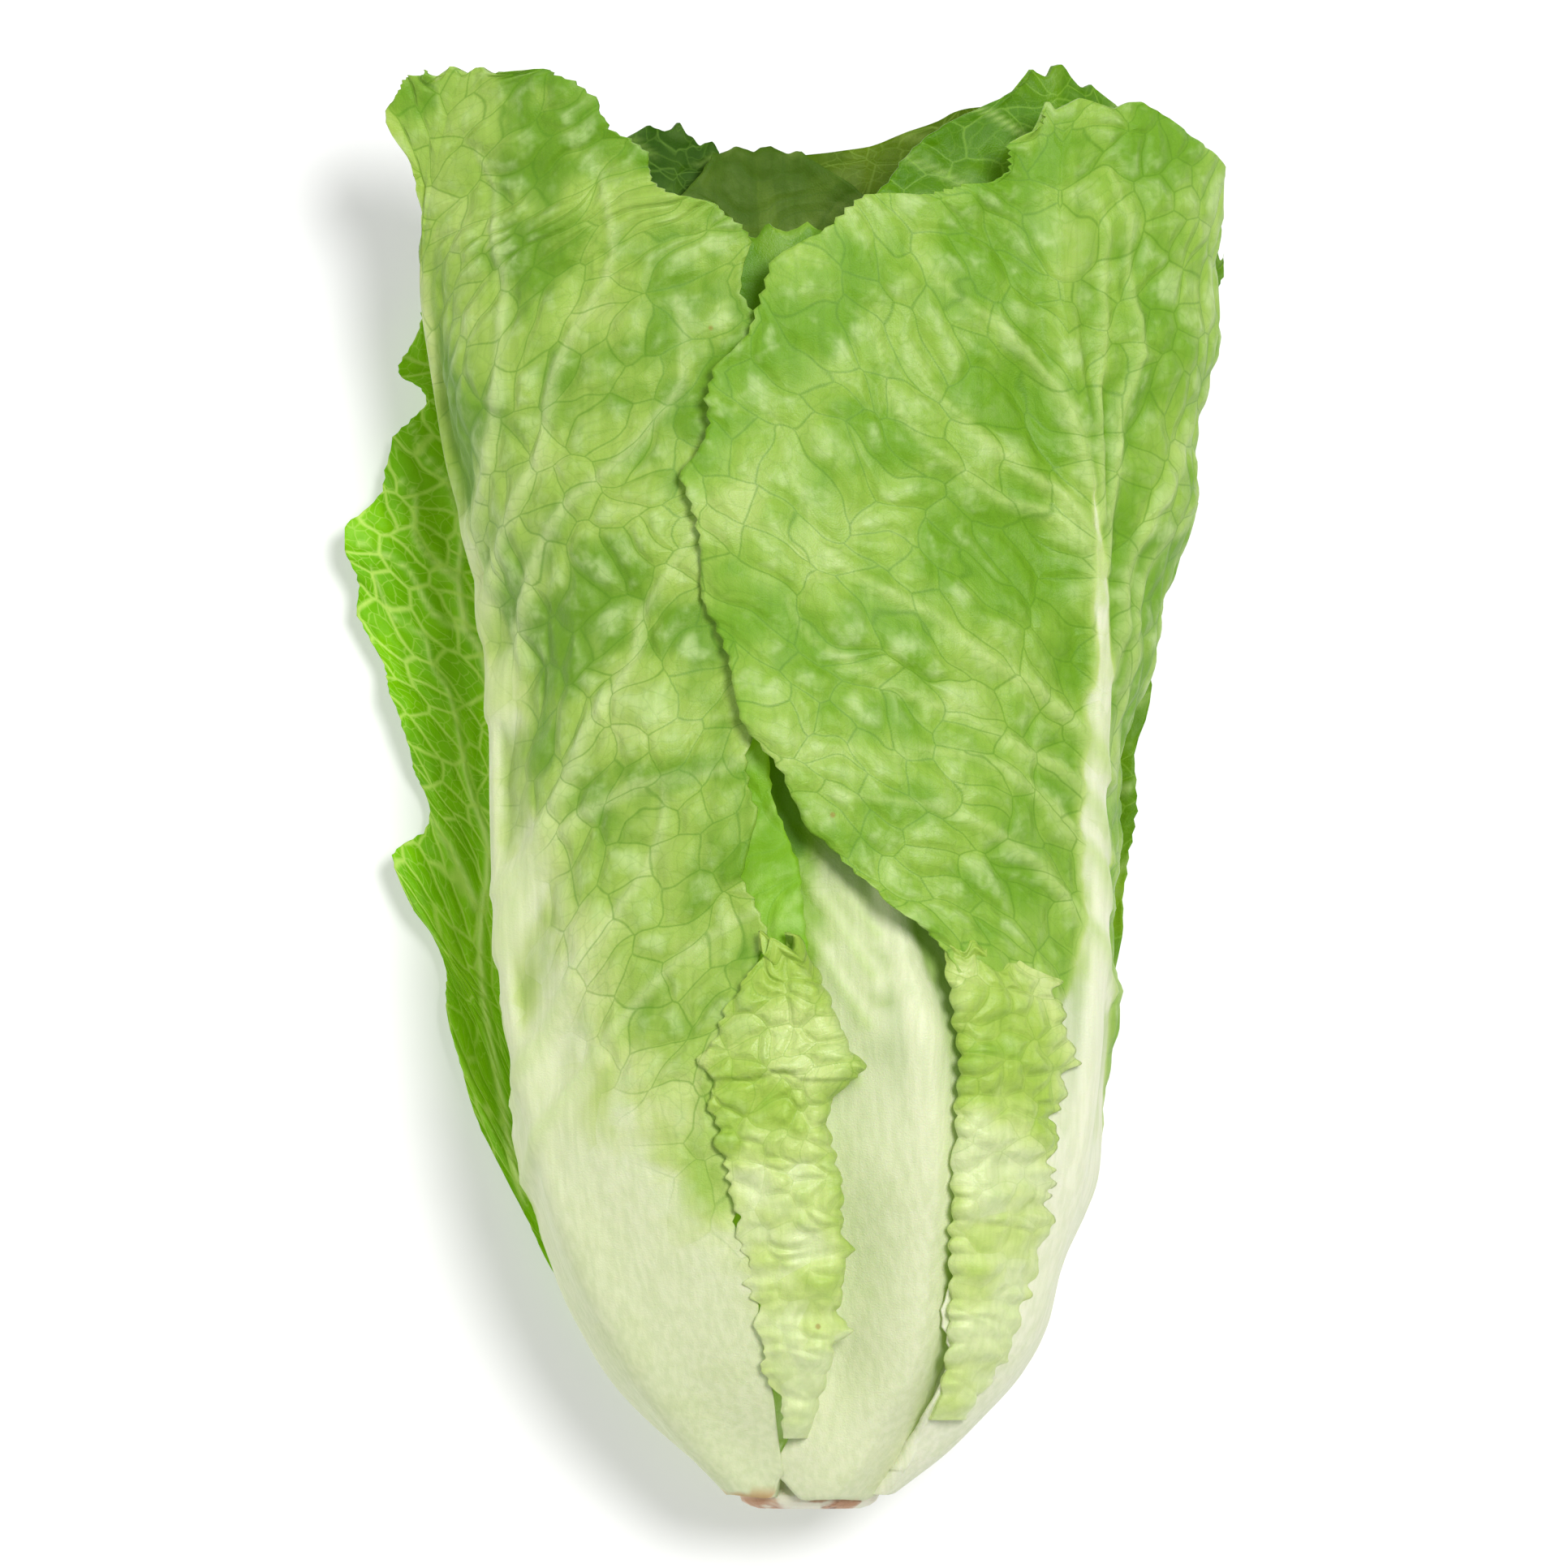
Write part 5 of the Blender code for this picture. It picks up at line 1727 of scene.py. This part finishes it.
LEAVES = (
    FrontLeftLeaf(
        name="leaf_front_left",
        middle=((-6.8, 2.4), (-24.5, 26), (-36.5, 52), (-43.5, 78), (-46.5, 106), (-47.3, 135),
                (-53.5, 165), (-58.5, 192), (-58.5, 212), (-56, 228), (-53, 239.5)),
        left=((-11.2, 2.4), (-50, 27), (-66, 54), (-75, 80), (-76, 106), (-76, 134), (-79, 162),
              (-78, 188), (-62, 212), (-64.8, 234.5), (-59.5, 239.5)),
        right=((0.6, 1.4), (-1.8, 17), (-4.2, 34), (-6.8, 50), (-9, 66), (-6.5, 79), (-4.5, 92),
               (-4.8, 107), (-5, 122), (-4.2, 137), (-3.5, 152), (-3.7, 166), (-4, 180), (-5, 194),
               (-7.4, 207), (-9.5, 215.5), (-20, 219.2), (-23.4, 225.5), (-30.5, 232), (-37, 239),
               (-47, 240.2)),
        rib=(5.0, 4.6, 0.2),
        rib_width=(7.0, 7.5, 2.0),
        ruffle=0.7,
        teeth=1.2,
        frill=1.3,
        ridges=0.7,
        finish=PALE_UNDERSIDE,
        seed=1.0,
        veins=LEFT_VEINS,
        vein_height=0.8,
        flat_tip=1.0,
        hollow_reach=22.0,
        white_zone=((0.0, 48.0), (18.0, 30.0), (35.0, 18.0), (50.0, 14.0), (75.0, 13.0), (102.0, 11.0),
                    (140.0, 7.0), (170.0, 3.0), (240.0, 0.6)),
        white_softness=22.0,
        vein_width=1.15,
        green_from=(5.0, 100.0),
        green_range=(0.26, 0.85),
        slant=0.55,
    ),
    FrontRightLeaf(
        name="leaf_front_right",
        middle=((16.6, 2.6), (34, 22), (44, 47), (49.7, 76), (51.5, 100), (51.6, 130), (51, 155),
                (49, 178), (46, 198), (45, 217), (46, 234)),
        left=((14.6, 2.2), (24.5, 19), (28.8, 50), (28.5, 88), (9, 108), (-7.7, 136), (-15, 166),
              (-9, 193), (10, 216), (33, 220.5), (41, 233)),
        right=((18.2, 3.0), (54, 24), (72, 48), (81, 76), (81, 100), (76, 126), (77, 150),
               (75, 174), (73, 196), (72.4, 219), (58.5, 234.2)),
        rib=(5.0, 4.4, 0.2),
        rib_width=(9.5, 5.0, 1.0),
        teeth=1.3,
        frill=1.5,
        ridges=0.8,
        finish=UNDERSIDE,
        seed=2.0,
        veins=RIGHT_VEINS,
        vein_height=0.7,
        white_zone=((0.0, 60.0), (35.0, 42.0), (62.0, 19.0), (90.0, 6.5), (116.0, 3.2), (140.0, 1.4),
                    (160.0, 0.5), (190.0, -1.0), (240.0, -4.0)),
        white_softness=6.0,
        tip_rib_green=0.22,
    ),
    CentreLeaf(
        name="leaf_centre",
        middle=((8.0, 1.7), (19, 20), (23.5, 45), (23.5, 72), (20, 100), (13, 130), (6, 160), (0, 188),
                (-2.5, 213.5)),
        left=((-0.4, 1.3), (1.6, 20), (-2, 45), (-12, 70), (-21, 96), (-27, 126), (-25, 158), (-17, 186),
              (-12, 212)),
        right=((16.4, 1.2), (26.6, 20), (31.5, 45), (37, 72), (41, 100), (42, 130), (37, 160), (20, 190),
               (7, 213.5)),
        depth=2.6,
        rib=(3.6, 5.8, 0.5),
        rib_width=(5.0, 6.6, 1.6),
        rib_power=1.6,
        columns=100,
        rows=180,
        finish=CENTRE_RIB,
        seed=3.0,
        quilt=0.2,
        tip_frill=0.9,
        veins=CENTRE_VEINS,
        hollow_depth=0.8,
        puff_height=0.0,
        white_zone=((0.0, 60.0), (60.0, 34.0), (82.0, 17.0), (100.0, 9.0), (150.0, 0.0), (190.0, -9.0)),
        white_softness=12.0,
        green_from=(60.0, 125.0),
        green_range=(0.2, 1.2),
    ),
    Leaf(
        name="leaf_inner_left",
        middle=((-0.2, 5.8), (-6.5, 28), (-13, 52), (-19, 76), (-23, 100), (-25, 126), (-23, 150),
                (-19, 174), (-15, 196)),
        left=((-1.6, 6.5), (-9.5, 30), (-20, 54), (-30, 78), (-40, 102), (-43, 128), (-40, 152), (-32, 176),
              (-20, 195)),
        right=((1.3, 6.5), (3.5, 26), (6.5, 50), (6, 74), (3, 103), (-3, 128), (-6, 152), (-8, 175),
               (-11, 195)),
        depth=5.2,
        rib=(2.2, 3.0, 0.4),
        rib_width=(3.0, 5.0, 1.5),
        columns=76,
        rows=160,
        finish=VIVID,
        seed=4.0,
        white_zone=((0.0, 30.0), (40.0, 6.0), (100.0, 2.0), (196.0, 1.0)),
        green_from=(0.0, 110.0),
        green_range=(0.15, 1.0),
    ),
    Leaf(
        name="leaf_second_right",
        middle=((20, 17), (33, 45), (38, 80), (38, 110), (40, 140), (42, 170), (44, 200), (45, 222),
                (45, 240.3)),
        left=((15, 19), (25, 42), (28, 66), (26, 95), (14, 130), (7, 165), (9, 202), (17, 222),
              (39, 238.2)),
        right=((25, 19), (44, 48), (54, 80), (56, 110), (58, 140), (63, 170), (65, 198), (63, 222),
               (52.5, 236.5)),
        depth=13.5,
        rib=(3.0, 3.4, 0.4),
        rib_width=(5.0, 5.0, 1.5),
        columns=80,
        rows=170,
        ruffle=0.6,
        finish=BRIGHT,
        seed=5.0,
        white_zone=REAR_ZONE,
        white_softness=6.0,
        green_range=(0.3, 1.1),
    ),
    FloorLeaf(
        name="leaf_back_left",
        middle=((-6, 6), (-21, 24), (-36, 50), (-44, 78), (-47, 105), (-48, 132), (-48, 158), (-47, 182),
                (-44, 203), (-40, 219)),
        left=((-10, 7), (-26, 22), (-37, 36.5), (-44, 49), (-52, 66), (-55.6, 78), (-57, 89), (-59, 95.5),
              (-64, 102.5), (-64, 110), (-59.5, 117), (-63, 125.5), (-65, 135), (-68.7, 143), (-71, 152),
              (-73.4, 161), (-69, 169), (-64.4, 179), (-61, 186), (-65, 190.5), (-61, 198), (-56, 207),
              (-49, 214), (-42, 219)),
        right=((1, 6), (8, 30), (18, 55), (24, 80), (26, 108), (26, 135), (22, 160), (8, 185), (-15, 206),
               (-38, 219)),
        rib=(3.0, 3.0, 0.4),
        rib_width=(4.5, 5.0, 1.5),
        columns=120,
        rows=220,
        ruffle=1.4,
        teeth=1.1,
        waves=14.0,
        finish=UPPER_SIDE,
        seed=6.0,
        veins=BACK_LEFT_VEINS,
        vein_height=0.25,
        vein_width=0.55,
        quilt=0.4,
        cell_length=6.5,
        cell_gap=5.0,
        white_softness=5.0,
        green_range=(0.3, 0.85),
    ),
    BackRightLeaf(
        name="leaf_back_right",
        middle=((14, 6.5), (28, 24), (37, 48), (42, 72), (45, 98), (48, 124), (51, 150), (55, 175),
                (62, 197), (71, 211)),
        left=((7.5, 6.5), (2, 30), (-4, 55), (-7, 80), (-7, 108), (-5, 135), (4, 160), (22, 185), (46, 203),
              (69, 212.5)),
        right=((18.5, 7.5), (34, 22), (46, 46), (52, 70), (56.5, 100), (59.6, 124), (61.5, 150), (66, 175),
               (70.5, 197), (73.6, 209.5)),
        rib=(2.6, 2.6, 0.3),
        rib_width=(4.0, 4.5, 1.5),
        columns=64,
        rows=160,
        ruffle=0.7,
        waves=11.0,
        finish=BRIGHT,
        seed=7.0,
        green_range=(0.3, 0.8),
    ),
    RearLeaf(
        name="leaf_rear_left",
        middle=((-7, 15), (-19, 40), (-26, 70), (-29, 100), (-29, 130), (-27, 160), (-24, 190), (-20, 215),
                (-18, 231)),
        left=((-13, 17), (-34, 44), (-43, 76), (-44.5, 108), (-44.5, 138), (-49, 168), (-52, 195),
              (-46, 217), (-24.5, 231)),
        right=((-2, 17), (-6, 44), (-8, 76), (-8, 108), (-7, 138), (-6, 168), (-7, 195), (-9, 215),
               (-11, 227)),
        depth=3.0,
        columns=66,
        rows=150,
        finish=DARK,
        seed=8.0,
    ),
    RearRightLeaf(
        name="leaf_rear_right",
        middle=((15, 15), (26, 40), (33, 70), (36, 100), (37, 130), (37, 160), (36, 190), (36, 215),
                (36, 235)),
        left=((9, 17), (10, 44), (8, 76), (7, 108), (7, 138), (7, 168), (5, 192), (3, 212), (2.5, 225.5)),
        right=((21, 17), (41, 44), (49.3, 76), (51.2, 108), (55, 138), (61, 168), (64, 195), (64, 217),
               (58.5, 233.5)),
        depth=4.6,
        columns=70,
        rows=150,
        finish=OLIVE,
        seed=9.0,
    ),
    RearLeaf(
        name="leaf_rear_centre",
        middle=((4, 23), (4, 50), (3, 80), (2, 110), (1, 140), (0, 170), (-2, 200), (-4, 227.3)),
        left=((-2, 24), (-16, 52), (-24, 82), (-27, 110), (-28, 140), (-27, 170), (-25, 203), (-12, 226.6)),
        right=((10, 24), (22, 52), (28, 82), (31, 110), (32, 140), (31, 170), (29, 203), (3, 226.4)),
        depth=10.0,
        tip_frill=0.4,
        frill=0.5,
        rib=(2.4, 2.8, 0.4),
        columns=60,
        rows=140,
        finish=DULL,
        seed=10.0,
    ),
    HeartLeaf(
        name="leaf_heart_left",
        middle=((-3, 30), (-11, 60), (-14, 95), (-13, 130), (-10, 165), (-6, 192)),
        left=((-9, 31), (-27, 60), (-34, 95), (-34, 130), (-27, 165), (-11, 191)),
        right=((4, 31), (8, 60), (10, 95), (10, 130), (7, 165), (0, 191)),
        rows=90,
        finish=HEART,
        seed=11.0,
    ),
    HeartLeaf(
        name="leaf_heart_right",
        side=Side.BACK,
        middle=((10, 36), (18, 62), (20, 95), (19, 125), (14, 155), (8, 180)),
        left=((5, 37), (-1, 62), (-5, 95), (-5, 125), (-3, 155), (3, 179)),
        right=((16, 37), (31, 62), (36, 95), (35, 125), (29, 155), (13, 179)),
        rows=80,
        ruffle=0.4,
        finish=HEART,
        seed=12.0,
    ),
)

FOLDS = (
    FoldedMargin(
        name="front_right_fold",
        node="leaf_front_right",
        rows=(
            (15.0, 23.5, 28.0),
            (24.0, 27.0, 34.0),
            (35.0, 27.6, 38.0),
            (48.0, 28.0, 42.0),
            (62.0, 28.8, 42.5),
            (76.0, 28.8, 45.5),
            (86.0, 27.8, 43.5),
            (94.0, 27.0, 44.0),
        ),
        start_depth=0.5,
        top_depth=-3.9,
        turn=1.0,
        finish=CRINKLED,
        settle=1.9,
        end_drop=0.55,
        free_spikes=((29.5, 1.8, 2.5), (44.0, 1.6, 1.6), (74.0, 1.2, 1.6), (88.0, 1.5, 1.6)),
        seed=41.0,
    ),
    FoldedMargin(
        name="inner_left_fold",
        node="leaf_inner_left",
        rows=(
            (12.0, 3.2, -1.2),
            (20.0, 5.4, -2.0),
            (34.0, 8.3, -4.8),
            (48.0, 8.8, -7.6),
            (58.0, 8.0, -9.6),
            (66.0, 6.4, -11.5),
            (74.0, 10.0, -12.0),
            (84.0, 6.6, -8.5),
            (94.0, 1.0, -4.0),
        ),
        start_depth=5.7,
        top_depth=-2.0,
        turn=-1.0,
        finish=CRINKLED,
        fold_spikes=((30.1, 3.6, 2.6), (43.5, 2.0, 2.2), (74.0, 1.5, 2.5)),
        free_spikes=((74.5, 1.8, 2.5),),
        overlap=1.3,
        seed=42.0,
        green_range=(0.1, 0.75),
    ),
)


@dataclass
class Studio:
    """A smooth pale floor, plain soft light, and the camera straight above."""

    floor_size: float = 12.0
    floor_grey: float = 0.70
    floor_glow: float = 0.33
    floor_roughness: float = 0.7
    floor_shine: float = 0.2
    camera_distance: float = 7.0
    view_depth: float = 50.0
    focus_height: float = 0.045
    sensor: float = 36.0
    key_strength: float = 2.7
    key_angle: float = 0.28
    key_from: tuple = (0.27, 0.22, 1.0)
    fill_strength: float = 0.68
    fill_angle: float = 1.2
    fill_from: tuple = (-0.85, 0.15, 0.8)
    sky: float = 0.27

    def build(self) -> None:
        """Make the floor, the light and the camera."""
        self.make_floor()
        self.make_light("key_light", self.key_from, self.key_strength, self.key_angle)
        self.make_light("fill_light", self.fill_from, self.fill_strength, self.fill_angle)
        world = bpy.data.worlds.new("soft_room")
        world.use_nodes = True
        background = world.node_tree.nodes["Background"]
        background.inputs["Color"].default_value = WHITE
        background.inputs["Strength"].default_value = self.sky
        bpy.context.scene.world = world
        bpy.context.scene.view_settings.view_transform = "Standard"
        self.make_camera()
        log.info("studio: floor, 2 lights and camera")

    def make_floor(self) -> None:
        """Make the white floor."""
        data = bmesh.new()
        bmesh.ops.create_grid(data, x_segments=1, y_segments=1, size=self.floor_size / 2)
        mesh = kept_mesh(data, "floor")
        made = bpy.data.materials.new("floor_white")
        made.use_nodes = True
        looks = {
            "Base Color": (self.floor_grey, self.floor_grey, self.floor_grey, 1.0),
            "Emission Color": WHITE,
            "Emission Strength": self.floor_glow,
            "Roughness": self.floor_roughness,
            "Specular IOR Level": self.floor_shine,
        }
        for name, value in looks.items():
            made.node_tree.nodes["Principled BSDF"].inputs[name].default_value = value
        mesh.materials.append(made)
        floor = bpy.data.objects.new("floor", mesh)
        bpy.context.scene.collection.objects.link(floor)

    def make_light(self, name: str, source: tuple, strength: float, angle: float) -> None:
        """Make one soft distant light.

        Args:
            name: The light's name.
            source: The direction that it comes from.
            strength: Its strength.
            angle: How wide it is seen to be, in radians.
        """
        lamp = bpy.data.lights.new(name, "SUN")
        lamp.energy = strength
        lamp.angle = angle
        light = bpy.data.objects.new(name, lamp)
        light.location = source
        light.rotation_euler = Vector(source).to_track_quat("Z", "Y").to_euler()
        bpy.context.scene.collection.objects.link(light)

    def make_camera(self) -> None:
        """Make the camera so that the photo's scale holds at the height of focus."""
        data = bpy.data.cameras.new("camera")
        data.sensor_width = self.sensor
        data.lens = self.sensor * self.camera_distance / (PHOTO_SIDE * PHOTO_MM * MM)
        data.clip_end = self.view_depth
        camera = bpy.data.objects.new("camera", data)
        centre_x = (PHOTO_SIDE / 2 - PHOTO_AXIS_X) * PHOTO_MM
        centre_y = (PHOTO_BUTT_Y - PHOTO_SIDE / 2) * PHOTO_MM - BUTT_TO_ORIGIN
        camera.location = (centre_x * MM, centre_y * MM, self.focus_height + self.camera_distance)
        bpy.context.scene.collection.objects.link(camera)
        bpy.context.scene.camera = camera


def main() -> None:
    """Build the head and the studio."""
    logging.basicConfig(level=logging.INFO, format="%(name)s: %(message)s")
    Finishes.prepare()
    Stem().build()
    for leaf in LEAVES:
        leaf.build()
    for fold in FOLDS:
        fold.build()
    Studio().build()


if __name__ == "__main__":
    main()
